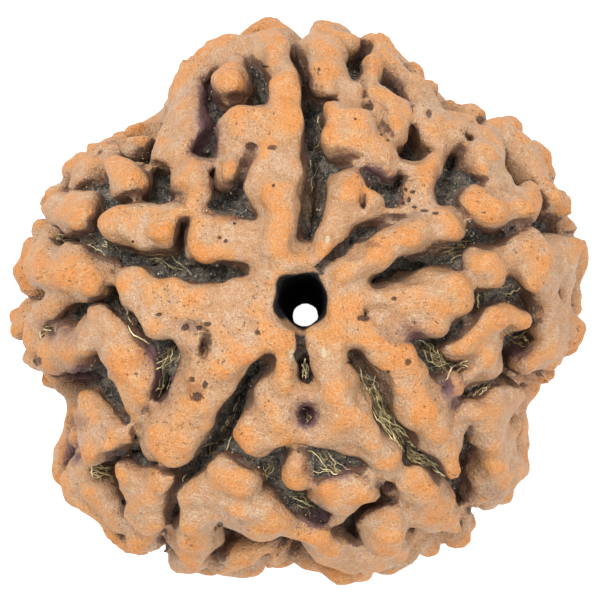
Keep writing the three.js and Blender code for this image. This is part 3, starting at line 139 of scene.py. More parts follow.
LOBES = [
  # Between the left and the top seam
  [0.0, [-0.9, 2.2, 0.75], [-0.95, 3.4, 0.9], [-1.0, 4.5, 1.15], [-0.85, 5.5, 1.05],
    [-0.6, 6.6, 0.8], [-0.5, 7.6, 0.68], [-0.62, 8.4, 0.66], [-0.75, 9.3, 0.66]],
  [0.1, [-1.2, 7.0, 0.8], [-2.0, 7.05, 0.8], [-2.57, 6.57, 0.75], [-2.74, 5.6, 0.6],
    [-2.85, 4.85, 0.44]],
  [0.3, [-1.6, 6.4, 0.5], [-2.3, 6.2, 0.5]],
  [0.05, [-1.2, 1.7, 0.75], [-2.3, 2.3, 1.0], [-3.3, 2.65, 1.05], [-3.75, 2.35, 0.9]],
  [0.35, [-3.6, 3.15, 0.42], [-4.5, 3.5, 0.42], [-5.4, 3.4, 0.5]],
  [0.15, [-7.1, 2.95, 0.86], [-6.3, 2.9, 1.0], [-5.75, 2.8, 0.86]],
  [0.15, [-4.2, 3.8, 0.55], [-4.15, 4.5, 0.7], [-4.5, 4.9, 0.78]],
  [0.5, [-4.1, 5.2, 0.45], [-3.55, 5.5, 0.25]],
  [-0.3, [-6.95, 5.1, 0.68], [-6.8, 4.7, 0.74]],
  [0.25, [-9.1, 5.0, 0.85], [-8.5, 5.2, 1.0], [-8.0, 5.6, 0.9]],
  [0.2, [-8.2, 6.0, 0.65], [-7.3, 6.4, 0.7], [-6.5, 6.35, 0.6]],
  [0.15, [-9.7, 3.5, 0.95], [-8.8, 3.35, 1.0]],
  [0.1, [-3.9, 9.7, 0.75], [-2.7, 10.1, 0.95], [-1.5, 10.4, 1.05], [-0.85, 9.7, 0.8]],
  [0.15, [-3.0, 10.3, 0.7], [-2.1, 10.7, 0.75], [-1.2, 10.9, 0.8]],
  [0.0, [-2.78, 8.62, 0.84]],
  [0.4, [-2.7, 9.1, 0.6], [-2.5, 9.8, 0.6]],
  [0.1, [-4.45, 8.6, 0.8], [-4.65, 7.8, 1.05], [-4.85, 6.8, 1.3], [-5.2, 6.0, 0.95]],
  # Between the top and the right seam
  [0.0, [0.9, 1.9, 0.55], [1.35, 2.7, 0.58], [1.75, 3.6, 0.7], [2.0, 4.5, 0.84]],
  [0.1, [1.75, 3.6, 0.65], [2.7, 3.9, 0.7]],
  [0.0, [1.6, 0.9, 0.65], [2.5, 1.65, 0.75], [3.5, 2.1, 0.75], [4.9, 2.85, 0.92],
    [5.9, 2.95, 0.75]],
  [0.25, [4.9, 3.6, 0.65], [4.8, 4.5, 0.55], [5.2, 5.3, 0.55], [5.7, 5.95, 0.28]],
  [0.45, [4.9, 5.2, 0.4], [4.2, 5.35, 0.35]],
  [0.5, [3.05, 3.35, 0.32], [3.9, 3.5, 0.36], [4.6, 3.7, 0.4]],
  [0.05, [1.5, 7.25, 0.75], [2.0, 6.8, 1.0], [2.8, 6.1, 0.95], [3.4, 5.5, 0.65]],
  [0.12, [1.6, 6.5, 0.75], [2.3, 5.95, 0.8], [3.0, 5.5, 0.55]],
  [0.1, [0.85, 10.4, 0.92], [0.95, 9.5, 0.88], [1.3, 8.75, 0.75]],
  [0.3, [1.2, 8.7, 0.6], [2.0, 8.45, 0.5]],
  [0.35, [2.1, 8.2, 0.4], [2.0, 7.6, 0.5]],
  [0.15, [1.5, 10.6, 0.7], [2.5, 10.5, 0.55], [3.3, 10.1, 0.6]],
  [0.2, [3.3, 9.8, 0.42], [2.95, 9.3, 0.36], [2.7, 8.7, 0.33], [2.9, 8.1, 0.4]],
  [0.05, [3.55, 7.9, 0.8], [3.75, 7.2, 0.58], [3.82, 6.6, 0.3]],
  [0.15, [3.5, 9.8, 0.68], [4.4, 9.1, 0.8], [5.0, 8.1, 0.92], [5.4, 6.95, 1.12],
    [6.2, 6.85, 0.85]],
  [0.0, [7.35, 6.2, 1.05], [7.35, 5.55, 1.0], [7.75, 4.95, 0.75]],
  [0.1, [7.0, 3.85, 0.86], [8.1, 3.6, 0.95], [9.1, 3.85, 0.75]],
  [0.15, [8.3, 6.8, 0.8], [9.15, 6.0, 1.0], [9.7, 5.0, 1.0], [10.0, 4.1, 0.9]],
  # Between the right and the lower right seam
  [0.05, [1.7, -0.2, 0.55], [3.2, -0.15, 0.68], [4.6, 0.05, 0.95], [6.0, 0.2, 1.0]],
  [0.15, [4.6, 0.0, 0.8], [5.2, -0.75, 0.85]],
  [0.4, [3.3, -0.85, 0.45], [4.2, -1.15, 0.5]],
  [0.05, [1.6, -1.25, 0.6], [2.9, -1.6, 0.72], [3.9, -2.5, 0.95], [4.45, -3.5, 0.95],
    [5.1, -4.5, 1.0], [5.65, -5.4, 1.12], [5.8, -5.9, 0.95]],
  [0.0, [7.55, 1.4, 0.95]],
  [0.1, [7.6, 1.6, 0.8], [8.6, 1.85, 0.88], [9.6, 2.05, 0.85]],
  [0.15, [9.2, 1.7, 1.0], [10.0, 1.6, 1.2], [10.7, 1.6, 1.0]],
  [0.2, [9.9, 0.7, 0.85], [8.9, 1.4, 0.7]],
  [0.4, [11.0, 0.8, 0.7], [11.0, -0.8, 0.7]],
  [0.2, [8.8, -0.85, 0.5], [7.8, -0.75, 0.66], [7.0, -1.1, 0.75], [6.3, -1.8, 0.55]],
  [0.3, [7.3, -1.9, 0.92], [7.4, -2.7, 0.82], [6.8, -3.1, 0.55]],
  [0.12, [10.1, -0.6, 0.95], [10.0, -1.8, 1.15], [9.3, -2.4, 0.75]],
  [1.0, [9.3, -3.5, 0.5], [10.2, -3.0, 0.45]],
  [0.4, [5.95, -3.1, 0.38], [6.15, -3.7, 0.48]],
  [0.1, [8.5, -4.05, 0.92], [7.5, -4.3, 0.8]],
  [0.15, [7.0, -4.4, 0.7], [7.85, -5.0, 1.0], [7.95, -6.0, 1.05], [7.6, -7.0, 1.0],
    [7.3, -7.8, 0.75]],
  [0.3, [8.8, -5.0, 0.6], [8.85, -5.9, 0.7], [8.5, -6.9, 0.75]],
  # Between the lower right and the lower left seam
  [0.05, [-0.55, -1.9, 0.6], [-0.6, -3.2, 0.75], [-1.1, -4.5, 1.05], [-1.6, -5.3, 1.02]],
  [0.05, [0.95, -1.9, 0.62], [1.2, -3.0, 0.8], [1.6, -4.3, 1.05], [2.4, -5.4, 1.1],
    [3.35, -6.2, 0.75]],
  [0.25, [-0.6, -3.7, 0.6], [1.3, -3.7, 0.6]],
  [0.2, [-1.0, -5.2, 0.8], [0.3, -5.3, 0.62], [2.0, -5.3, 0.85]],
  [0.5, [-0.1, -6.3, 0.45], [-0.15, -6.95, 0.65]],
  [0.2, [0.95, -7.6, 0.6], [1.7, -7.8, 0.92], [2.55, -7.5, 0.65]],
  [0.25, [1.7, -7.8, 0.7], [1.55, -8.4, 0.6]],
  [0.15, [4.5, -7.4, 0.88], [5.1, -8.1, 1.1], [5.6, -8.8, 0.9]],
  [0.3, [5.5, -8.9, 0.7], [6.4, -9.3, 0.55]],
  [0.15, [3.75, -8.6, 0.65], [3.3, -9.2, 0.92], [3.4, -10.0, 1.1]],
  [0.5, [4.8, -10.0, 0.7]],
  [0.1, [-3.4, -6.9, 0.72], [-2.4, -7.2, 0.92]],
  [0.1, [-3.7, -7.7, 1.0], [-4.1, -8.6, 0.85]],
  [0.2, [-4.4, -9.5, 1.05], [-4.5, -10.3, 0.8]],
  [0.1, [-3.2, -8.2, 1.05], [-1.8, -8.6, 1.05], [-0.4, -9.2, 0.85]],
  [0.2, [0.6, -9.5, 0.85], [1.5, -10.1, 1.1], [2.6, -10.5, 0.9]],
  [0.45, [-2.6, -10.3, 0.8], [-1.5, -10.2, 0.8]],
  # Between the lower left and the left seam
  [0.0, [-1.5, 0.0, 0.92], [-3.0, -0.5, 1.05], [-4.5, -0.4, 1.1], [-5.5, -0.3, 1.22],
    [-6.3, 0.3, 0.98], [-6.85, 0.65, 0.62]],
  [0.15, [-3.0, -1.3, 0.95], [-4.1, -1.6, 1.0]],
  [0.05, [-1.6, -1.3, 0.85], [-2.8, -2.1, 0.98], [-3.55, -2.9, 1.22], [-4.1, -3.9, 1.1],
    [-4.7, -4.9, 1.15], [-5.2, -5.6, 1.08]],
  [0.15, [-8.2, -0.9, 0.72], [-7.6, -1.4, 0.8], [-7.0, -2.2, 0.92], [-6.6, -3.1, 0.88],
    [-6.55, -4.0, 0.72]],
  [0.45, [-7.0, -2.9, 0.4], [-7.65, -2.95, 0.34]],
  [0.15, [-8.3, -1.2, 0.65], [-9.2, -1.95, 0.85], [-9.8, -2.2, 0.85]],
  [0.4, [-11.0, -0.8, 0.65], [-10.9, -1.8, 0.65], [-10.5, -2.6, 0.5]],
  [0.1, [-10.3, 1.4, 1.0], [-9.5, 1.3, 1.1], [-8.5, 1.05, 1.02]],
  [0.4, [-9.5, 0.4, 0.6], [-10.0, -0.4, 0.6], [-10.8, -0.8, 0.55]],
  [0.2, [-8.6, -4.6, 1.1], [-8.3, -5.15, 1.25], [-8.25, -5.8, 0.95]],
  [0.2, [-8.1, -6.0, 0.65], [-7.4, -5.5, 0.75], [-6.8, -5.1, 0.5]],
  [0.1, [-5.45, -7.4, 0.86], [-6.2, -7.6, 0.92], [-6.8, -7.2, 0.7]],
  [0.15, [-6.0, -8.0, 0.98], [-6.1, -8.8, 0.98], [-6.2, -9.6, 0.75]],
  [0.2, [-8.5, -7.5, 0.68], [-7.9, -7.9, 0.82], [-7.4, -8.7, 0.88]],
  [0.5, [-9.3, -6.8, 0.7], [-9.2, -7.6, 0.65]],
]

RIM = [
  [11.3, 1.9, 0.9], [11.25, 0.3, 0.7], [11.1, -1.4, 0.9], [9.9, -3.2, 0.55], [9.05, -4.6, 0.7],
  [9.15, -5.9, 0.6], [8.9, -7.1, 0.8], [7.6, -8.2, 0.6], [6.7, -9.3, 0.6], [5.3, -10.0, 0.6],
  [4.1, -10.8, 0.8], [2.3, -11.1, 0.9], [0.6, -10.6, 0.6], [-1.0, -10.6, 0.5],
  [-2.6, -11.0, 0.9], [-4.8, -10.8, 0.8], [-6.5, -10.2, 0.7], [-7.9, -9.2, 0.6],
  [-9.1, -8.0, 0.8], [-9.7, -6.3, 0.8], [-9.5, -4.8, 0.6], [-10.4, -2.7, 0.6],
  [-11.45, -1.0, 0.9], [-11.2, 1.5, 0.8], [-10.5, 3.7, 0.6], [-9.4, 5.3, 0.7],
  [-8.0, 6.5, 0.8], [-6.3, 6.9, 0.5], [-5.4, 8.0, 0.7], [-4.5, 9.5, 0.6], [-3.2, 10.4, 0.8],
  [-1.2, 11.15, 0.8], [1.2, 11.1, 0.9], [3.2, 10.5, 0.7], [4.9, 9.0, 0.6], [6.6, 7.75, 0.6],
  [8.5, 7.15, 0.8], [9.8, 5.6, 0.7], [10.7, 4.0, 0.6],
]

SEAMS = [
  [[3.5, 1.0, 0.42], [4.2, 1.3, 0.52], [5.6, 1.7, 0.52], [6.8, 2.38, 0.34], [8.0, 2.6, 0.27],
    [9.2, 2.9, 0.24], [10.3, 3.08, 0.24]],
  [[0.45, 3.1, 0.48], [0.5, 3.6, 0.58], [0.65, 4.7, 0.52], [0.55, 6.3, 0.42],
    [0.42, 7.6, 0.38], [0.1, 9.0, 0.32], [-0.05, 10.3, 0.3]],
  [[-3.3, 1.15, 0.5], [-4.5, 1.25, 0.56], [-5.8, 1.35, 0.48], [-7.0, 1.7, 0.42],
    [-8.1, 2.15, 0.38], [-9.2, 2.45, 0.34], [-10.2, 2.68, 0.28]],
  [[-1.75, -2.95, 0.38], [-2.1, -3.5, 0.5], [-2.75, -4.7, 0.56], [-3.2, -5.6, 0.54],
    [-4.2, -6.75, 0.32], [-4.75, -7.7, 0.25], [-5.2, -8.6, 0.24], [-5.6, -9.7, 0.24]],
  [[2.6, -3.0, 0.36], [3.05, -3.8, 0.5], [3.67, -4.9, 0.46], [4.5, -6.0, 0.32],
    [5.6, -6.8, 0.27], [6.15, -7.7, 0.26], [6.65, -8.5, 0.26]],
]

CLEFTS = [
  # Shallow inner ends of the seams
  [1.1, [2.75, 0.5, 0.16], [3.6, 1.0, 0.42]],
  [1.2, [0.35, 2.45, 0.2], [0.45, 3.2, 0.46]],
  [1.2, [-2.65, 0.95, 0.28], [-3.4, 1.15, 0.5]],
  [1.1, [-1.35, -2.3, 0.18], [-1.8, -3.05, 0.38]],
  [1.2, [2.1, -2.15, 0.25], [2.8, -2.8, 0.46], [3.4, -3.9, 0.5]],
  # Round the hole
  [0.55, [0.85, 1.2, 0.14], [1.2, 1.5, 0.14], [1.6, 1.85, 0.12]],
  [1.6, [0.2, -1.35, 0.14], [0.35, -2.6, 0.22], [0.4, -3.2, 0.14]],
  # Between the left and the top seam
  [2.4, [-4.75, 3.05, 0.12], [-4.85, 2.5, 0.28], [-4.85, 1.9, 0.34]],
  [2.5, [-2.05, 5.3, 0.18], [-2.4, 4.7, 0.3], [-3.2, 4.3, 0.3]],
  [2.2, [-2.6, 3.9, 0.25], [-1.9, 3.15, 0.15]],
  [2.4, [-5.75, 5.25, 0.2], [-5.6, 4.65, 0.36], [-5.75, 4.3, 0.25]],
  [1.2, [-7.85, 5.7, 0.15], [-7.72, 4.5, 0.2]],
  [2.6, [-1.65, 8.0, 0.28], [-1.65, 8.85, 0.28]],
  [2.6, [-3.6, 7.9, 0.33], [-3.4, 7.2, 0.33]],
  [1.4, [-7.6, 6.35, 0.12], [-7.0, 6.5, 0.12]],
  [0.5, [-5.5, 6.85, 0.14]],
  [1.3, [-3.5, 3.05, 0.12], [-3.3, 2.72, 0.16]],
  # Between the top and the right seam
  [2.2, [1.4, 5.3, 0.25], [2.0, 5.45, 0.14], [3.1, 5.0, 0.26], [3.6, 4.5, 0.35],
    [3.8, 3.8, 0.25]],
  [1.5, [2.5, 2.75, 0.18], [3.05, 2.92, 0.2]],
  [1.2, [3.65, 3.22, 0.15], [4.0, 3.3, 0.15]],
  [2.6, [5.75, 4.2, 0.26], [6.05, 5.1, 0.28]],
  [2.2, [5.95, 4.0, 0.15], [6.45, 3.4, 0.14], [6.95, 2.9, 0.16]],
  [3.4, [6.15, 5.3, 0.3], [6.3, 5.85, 0.28]],
  [0.7, [6.5, 6.0, 0.16], [6.75, 6.5, 0.14], [7.1, 7.0, 0.14]],
  [2.3, [6.5, 5.0, 0.2], [7.3, 4.82, 0.18], [7.65, 4.75, 0.1]],
  [1.8, [8.5, 4.7, 0.22], [9.2, 4.55, 0.18], [9.7, 4.3, 0.14]],
  [0.8, [8.7, 6.2, 0.16], [8.85, 5.2, 0.18]],
  [2.8, [2.15, 9.15, 0.32], [2.6, 9.85, 0.32]],
  [2.8, [3.35, 8.9, 0.34], [4.0, 8.75, 0.32]],
  [1.6, [0.75, 8.0, 0.16], [1.4, 8.15, 0.14]],
  [1.0, [3.4, 7.2, 0.1], [2.7, 8.1, 0.1]],
  [1.4, [2.45, 4.05, 0.14], [2.5, 3.65, 0.2]],
  # Between the right and the lower right seam
  [2.4, [7.5, 0.35, 0.16], [7.1, -0.1, 0.22], [6.6, -0.7, 0.24], [6.1, -1.3, 0.28],
    [5.2, -2.0, 0.3]],
  [2.4, [9.0, -0.1, 0.18], [9.9, -0.4, 0.14]],
  [2.4, [8.1, -1.2, 0.15], [8.9, -1.6, 0.2], [8.6, -2.0, 0.26]],
  [2.4, [5.5, -2.7, 0.18], [5.6, -3.7, 0.14]],
  [2.4, [6.6, -3.9, 0.2], [7.3, -3.5, 0.28], [8.3, -3.1, 0.3], [9.1, -3.3, 0.24]],
  [2.2, [6.75, -4.8, 0.15], [6.95, -5.3, 0.14], [6.75, -6.6, 0.14]],
  [1.2, [2.3, -0.62, 0.18], [2.8, -0.78, 0.18]],
  [0.4, [4.1, -1.0, 0.16], [4.7, -1.2, 0.22]],
  # Between the lower right and the lower left seam
  [2.4, [-3.2, -5.8, 0.25], [-2.2, -6.4, 0.25], [-1.2, -6.9, 0.25], [-0.4, -7.7, 0.25],
    [0.4, -8.1, 0.25], [0.8, -8.7, 0.15]],
  [2.0, [3.1, -7.0, 0.25], [3.8, -8.2, 0.18]],
  [2.4, [2.2, -8.75, 0.2], [2.3, -9.7, 0.18]],
  [2.2, [0.2, -4.3, 0.22], [0.2, -4.9, 0.22]],
  [1.4, [1.5, -6.9, 0.25]],
  [2.0, [4.68, -8.95, 0.24]],
  [1.2, [-3.1, -9.45, 0.14], [-2.2, -9.5, 0.2], [-1.2, -9.6, 0.16]],
  # Between the lower left and the left seam
  [2.4, [-7.5, 0.1, 0.2], [-8.5, -0.1, 0.18], [-9.6, -0.9, 0.16], [-10.3, -1.3, 0.16]],
  [2.4, [-7.2, 1.0, 0.15], [-7.2, 0.0, 0.22], [-6.7, -0.95, 0.24], [-5.7, -2.2, 0.28],
    [-5.4, -3.2, 0.2]],
  [2.6, [-9.3, -3.3, 0.3], [-8.6, -2.9, 0.32], [-8.0, -2.6, 0.28]],
  [2.4, [-8.0, -3.2, 0.34], [-7.3, -3.8, 0.3], [-6.9, -4.8, 0.26], [-6.5, -5.4, 0.24]],
  [2.4, [-9.0, -6.4, 0.24], [-8.0, -6.65, 0.26], [-6.9, -6.15, 0.28], [-6.2, -6.4, 0.24],
    [-5.4, -6.75, 0.24], [-4.7, -6.8, 0.28]],
  [0.6, [-3.75, -1.45, 0.16], [-3.85, -2.0, 0.22]],
  [0.3, [-4.7, -0.95, 0.16], [-4.3, -0.9, 0.2]],
  [0.35, [-1.75, -1.35, 0.13]],
  [1.2, [-7.0, -8.1, 0.16]],
]

# The form, as a signed distance
FAR_INSIDE = 5.0
NEAR_MIDDLE = 0.01
STREAM_FACTOR = 1664525
STREAM_STEP = 1013904223
STREAM_SIZE = 4294967296


def random_stream(start):
    """Numbers from 0 to 1 that are the same on every run."""
    state = start
    while True:
        state = (state * STREAM_FACTOR + STREAM_STEP) % STREAM_SIZE
        yield state / STREAM_SIZE


def pick(draw, ends):
    """A number between two ends, drawn from a stream."""
    return ends[0] + (ends[1] - ends[0]) * next(draw)


def waves(start, count, shortest, longest):
    """Smooth noise between about -1 and 1: a sum of waves in directions over the sphere."""
    draw = random_stream(start)
    paces, phases = [], []
    for _ in range(count):
        up = 2 * next(draw) - 1
        turn = 2 * math.pi * next(draw)
        pace = 2 * math.pi / (shortest + (longest - shortest) * next(draw))
        flat = math.sqrt(1 - up * up)
        paces.append([pace * flat * math.cos(turn), pace * flat * math.sin(turn), pace * up])
        phases.append(2 * math.pi * next(draw))
    paces, phases = np.array(paces), np.array(phases)
    return lambda at: np.sin(at @ paces.T + phases).sum(axis=1) / math.sqrt(count)


crest_noise = waves(3, 9, 1.8, 4.2)
floor_noise = waves(5, 9, 2.2, 5.0)
edge_noise = [waves(start, 8, 1.3, 3.0) for start in (7, 11, 13)]


def rim_tables():
    """Half width of the envelope by angle, sharp and smoothed."""
    xy = np.array(OUTLINE)
    angle = np.arctan2(xy[:, 1], xy[:, 0]) % (2 * math.pi)
    order = np.argsort(angle)
    steps = np.arange(RIM_STEPS) * 2 * math.pi / RIM_STEPS
    radius = np.hypot(*xy.T) + OUTLINE_GAIN
    sharp = np.interp(steps, angle[order], radius[order], period=2 * math.pi)

    def average(table, reach):
        return sum(np.roll(table, k) for k in range(-reach, reach + 1)) / (2 * reach + 1)

    return average(sharp, SHARP_REACH), average(average(sharp, SMOOTH_REACH), SMOOTH_REACH)


RIM_STEPS = 720
rim_sharp, rim_smooth = rim_tables()


def envelope_radius(at):
    """Radius of the envelope along unit directions."""
    x, y, z = at.T
    step = (np.arctan2(y, x) / (2 * math.pi) % 1) * RIM_STEPS
    index = np.floor(step).astype(int) % RIM_STEPS
    part = step - np.floor(step)
    after = (index + 1) % RIM_STEPS
    equator = np.exp(-((z / EQUATOR_WIDTH) ** 2))
    smooth = rim_smooth[index] * (1 - part) + rim_smooth[after] * part
    sharp = rim_sharp[index] * (1 - part) + rim_sharp[after] * part
    half = smooth * (1 - equator) + sharp * equator
    across = np.hypot(x, y) / half
    along = np.abs(z) / np.where(z > 0, UPPER_POLE, LOWER_POLE)
    return (across ** SQUARENESS + along ** SQUARENESS) ** (-1 / SQUARENESS)


def on_envelope(at):
    """Envelope points straight outwards through points given from the middle of the seed."""
    at = np.atleast_2d(np.asarray(at, float))
    unit = at / np.linalg.norm(at, axis=1)[:, None]
    return unit * envelope_radius(unit)[:, None]


def skin_point(unit, depth):
    """The envelope points that places under the envelope belong to, more upwards on top."""
    x, y, z = unit.T
    reach = envelope_radius(unit)
    rise = np.clip(z / UPRIGHT_FROM, 0, 1)
    upright = UPRIGHT * rise * rise * (3 - 2 * rise)
    shrink = 1 - upright * np.maximum(0, depth) / reach
    height = np.where(z > 0, np.sqrt(np.maximum(0, 1 - (1 - z * z) * shrink * shrink)), z)
    return on_envelope(np.stack([x * shrink, y * shrink, height], axis=1))


def from_plan(x, y, side):
    """The envelope point for a place that the plan shows, a little under the envelope."""
    index = int(math.floor((math.atan2(y, x) / (2 * math.pi) % 1) * RIM_STEPS + 0.5)) % RIM_STEPS
    share = min(FURTHEST_OUT, math.hypot(x, y) / (rim_smooth[index] - SIGHT_DEPTH))
    pole = (UPPER_POLE if side > 0 else LOWER_POLE) - SIGHT_DEPTH
    z = side * pole * (1 - share ** SQUARENESS) ** (1 / SQUARENESS)
    place = np.array([[x, y, z]]) / math.sqrt(x * x + y * y + z * z)
    return skin_point(place, SIGHT_DEPTH)[0]


def pressed(at):
    """Envelope points with the upper half's height pressed, as the plan foreshortens it."""
    result = np.array(at, float)
    above = np.maximum(0, result[:, 2] - PRESS_FROM)
    result[:, 2] -= above * (1 - UPPER_PRESS)
    return result


def stroke(level, points):
    """A chain of envelope points with half widths, and a ball round all of it."""
    points = pressed(points)
    middle = points[:, :3].mean(axis=0)
    reach = (np.linalg.norm(points[:, :3] - middle, axis=1) + points[:, 3]).max()
    return level, points, middle, reach


def measure(points, at):
    """Distance from envelope points past the edge of a stroke, and as a share of half width."""
    edge = np.full(len(at), np.inf)
    share = np.zeros(len(at))
    for i in range(max(1, len(points) - 1)):
        a, b = points[i], points[min(i + 1, len(points) - 1)]
        along = b[:3] - a[:3]
        square = along @ along
        offset = at - a[:3]
        part = np.clip(offset @ along / square, 0, 1) if square > 0 else np.zeros(len(at))
        away = np.linalg.norm(offset - part[:, None] * along, axis=1)
        half = a[3] + (b[3] - a[3]) * part
        nearer = away - half < edge
        edge = np.where(nearer, away - half, edge)
        share = np.where(nearer, away / half, share)
    return edge, share


def plan_stroke(level, points):
    return stroke(level, [[*from_plan(x, y, 1), half] for x, y, half in points])


traced = [plan_stroke(drop, points) for drop, *points in LOBES]
clefts = [plan_stroke(depth, points) for depth, *points in CLEFTS]
seam_angles = [math.atan2(points[-1][1], points[-1][0]) for points in SEAMS]


def flank_turns():
    """How far each seam wanders sideways as it runs on down the flank to the hole."""
    draw = random_stream(GROWTH + 1)
    result = []
    for angle in seam_angles:
        wander = 0
        turns = []
        for _ in FLANK_TILTS:
            wander = WANDER_KEPT * wander + FLANK_WANDER * (2 * next(draw) - 1)
            turns.append(angle + wander)
        result.append(turns)
    return result


seam_turns = flank_turns()


def at_tilt(tilt, turn):
    polar = math.radians(tilt)
    flat = math.sin(polar)
    return on_envelope([flat * math.cos(turn), flat * math.sin(turn), math.cos(polar)])[0]


def seam_strokes():
    """Each seam is deepest near the hole, and a shallow groove down the flank and underneath."""
    result = []
    for places, turns, flank_depth in zip(SEAMS, seam_turns, FLANK_DEPTHS):
        upper = [[*from_plan(x, y, 1), half] for x, y, half in places]
        along = [math.hypot(x, y) for x, y, _ in places]
        for depth, start, end in SEAM_DEPTHS:
            within = [point for point, at in zip(upper, along) if start < at < end]
            result.append(stroke(depth, within))
        lower = [[*at_tilt(tilt, turn), FLANK_SEAM] for tilt, turn in zip(FLANK_TILTS, turns)]
        result.append(stroke(flank_depth, [upper[-1], *lower]))
    return result


seams = seam_strokes()


def seam_margins():
    """Low uneven ridges along both sides of every seam down the flank."""
    draw = random_stream(GROWTH + 4)
    ridges = []
    for turns in seam_turns:
        for side in (-1, 1):
            count = int(pick(draw, MARGIN_COUNTS))
            level = pick(draw, MARGIN_LEVELS)
            chain = []
            for tilt, turn in list(zip(FLANK_TILTS, turns))[:count]:
                offset = side * pick(draw, MARGIN_OFFSETS)
                at = at_tilt(tilt, turn)
                place = at_tilt(tilt, turn + offset / math.hypot(at[0], at[1]))
                chain.append([*place, pick(draw, MARGIN_WIDTHS)])
            ridges.append(stroke(level, chain))
    return ridges


def segment_of(point):
    """Which of the five segments between the seams an envelope point lies in."""
    angle = math.atan2(point[1], point[0])
    turns = [(angle - seam + 4 * math.pi) % (2 * math.pi) for seam in seam_angles]
    return turns.index(min(turns))


def rim_ridges():
    """Short ridges along the outline, each in a direction of its own."""
    draw = random_stream(GROWTH + 3)
    ridges = []
    for x, y, half in RIM:
        polar = math.radians(pick(draw, RIM_TILTS))
        turn = math.atan2(y, x)
        heading = math.pi * next(draw)
        reach = pick(draw, RIM_REACHES)
        chain = []
        for way in (-1, 0, 1):
            tilt = polar + way * reach * math.cos(heading)
            bend = way * way * pick(draw, RIM_BENDS)
            angle = turn + way * reach * math.sin(heading) + bend
            flat = math.sin(tilt)
            at = on_envelope([flat * math.cos(angle), flat * math.sin(angle), math.cos(tilt)])[0]
            chain.append([*at, half * (1 if way == 0 else RIM_TAPER)])
        ridges.append(stroke(RIM_LEVEL, chain))
    return ridges


def lower_rays():
    """Two rays beside each seam on the underside, as on the upper side."""
    draw = random_stream(GROWTH + 2)
    rays = []
    for angle in seam_angles:
        for side in (-1, 1):
            count = int(pick(draw, RAY_COUNTS))
            breadth = pick(draw, RAY_BREADTHS)
            drift = pick(draw, RAY_DRIFTS)
            chain = []
            for i, distance in enumerate(RAY_DISTANCES[:count]):
                offset = side * (RAY_OFFSETS[i] + drift * i + pick(draw, RAY_SHIFTS))
                x = distance * math.cos(angle) - offset * math.sin(angle)
                y = distance * math.sin(angle) + offset * math.cos(angle)
                width = RAY_WIDTHS[i] * breadth * pick(draw, RAY_CHANGES)
                chain.append([*from_plan(x, y, -1), width])
            rays.append(stroke(pick(draw, RAY_LEVELS), chain))
    return rays


def grown_lobes(others):
    """Knobs over the flank and the underside, and ridges that link neighbours."""
    draw = random_stream(GROWTH)
    knobs = []
    rooms = [(others, KNOB_ROOM), (seams, SEAM_ROOM)]
    for _ in range(KNOB_TRIES):
        up = 2 * next(draw) - 1
        turn = 2 * math.pi * next(draw)
        spacing = pick(draw, KNOB_SPACINGS)
        half = pick(draw, KNOB_WIDTHS)
        drop = pick(draw, KNOB_LEVELS)
        flat = math.sqrt(1 - up * up)
        point = on_envelope([flat * math.cos(turn), flat * math.sin(turn), up])[0]
        if point[2] >= GROWN_BELOW:
            continue
        if any(np.linalg.norm(other[0] - point) <= spacing for other in knobs):
            continue
        at = pressed(point[None])
        if all(measure(item[1], at)[0][0] > room for items, room in rooms for item in items):
            knobs.append((point, half, drop, segment_of(point)))
    lobes = [stroke(drop, [[*point, half]]) for point, half, drop, _ in knobs]
    for i, (point, half, drop, segment) in enumerate(knobs):
        near = []
        for j, other in enumerate(knobs):
            away = np.linalg.norm(other[0] - point)
            if j != i and away < LINK_REACH and other[3] == segment:
                near.append((away, j))
        links = int(pick(draw, LINK_COUNTS))
        for _, j in sorted(near)[:links]:
            width = pick(draw, LINK_WIDTHS)
            level = max(drop, knobs[j][2]) + pick(draw, LINK_LEVELS)
            shift = [pick(draw, LINK_SHIFTS) for _ in range(3)]
            middle = on_envelope(point + knobs[j][0] + np.array(shift))[0]
            lobes.append(stroke(level, [
                [*point, half * LINK_TAPER],
                [*middle, width],
                [*knobs[j][0], knobs[j][1] * LINK_TAPER],
            ]))
    return lobes


def collar(side):
    """The ring round one end of the hole."""
    ring = []
    for i in range(COLLAR_STEPS + 1):
        turn = 2 * math.pi * i / COLLAR_STEPS
        x = COLLAR_MIDDLE[0] + COLLAR_RADIUS * math.cos(turn)
        y = COLLAR_MIDDLE[1] + COLLAR_RADIUS * math.sin(turn)
        ring.append([*from_plan(x, y, side), COLLAR_WIDTH])
    return stroke(COLLAR_LEVEL, ring)


shaped = [*traced, *seam_margins(), *rim_ridges(), *lower_rays()]
lobes = [*shaped, collar(1), collar(-1), *grown_lobes(shaped)]
cuts = [*seams, *clefts]


def smooth_min(a, b, width):
    share = np.maximum(width - np.abs(a - b), 0) / width
    return np.minimum(a, b) - share * share * width / 4


def hole_distance(at):
    """Distance past the wall of the hole, negative inside it."""
    x, y, z = at.T
    down = np.clip((MOUTH_HEIGHT - z) / (MOUTH_HEIGHT - THROAT_HEIGHT), 0, 1)
    mouth = np.zeros(len(at))
    for (ax, ay), (bx, by) in zip(MOUTH, MOUTH[1:] + MOUTH[:1]):
        length = math.hypot(bx - ax, by - ay)
        side = ((by - ay) * (x - ax) - (bx - ax) * (y - ay)) / length
        mouth += np.exp(np.minimum(side, MOUTH_FAR) / MOUTH_ROUNDNESS)
    mouth = MOUTH_ROUNDNESS * np.log(mouth)
    flare = LOWER_FLARE * np.maximum(0, 1 - z / FLARE_HEIGHT) ** 2
    throat = np.hypot(x - THROAT[0], y - THROAT[1]) - THROAT_RADIUS - flare
    return mouth * (1 - down) + throat * down


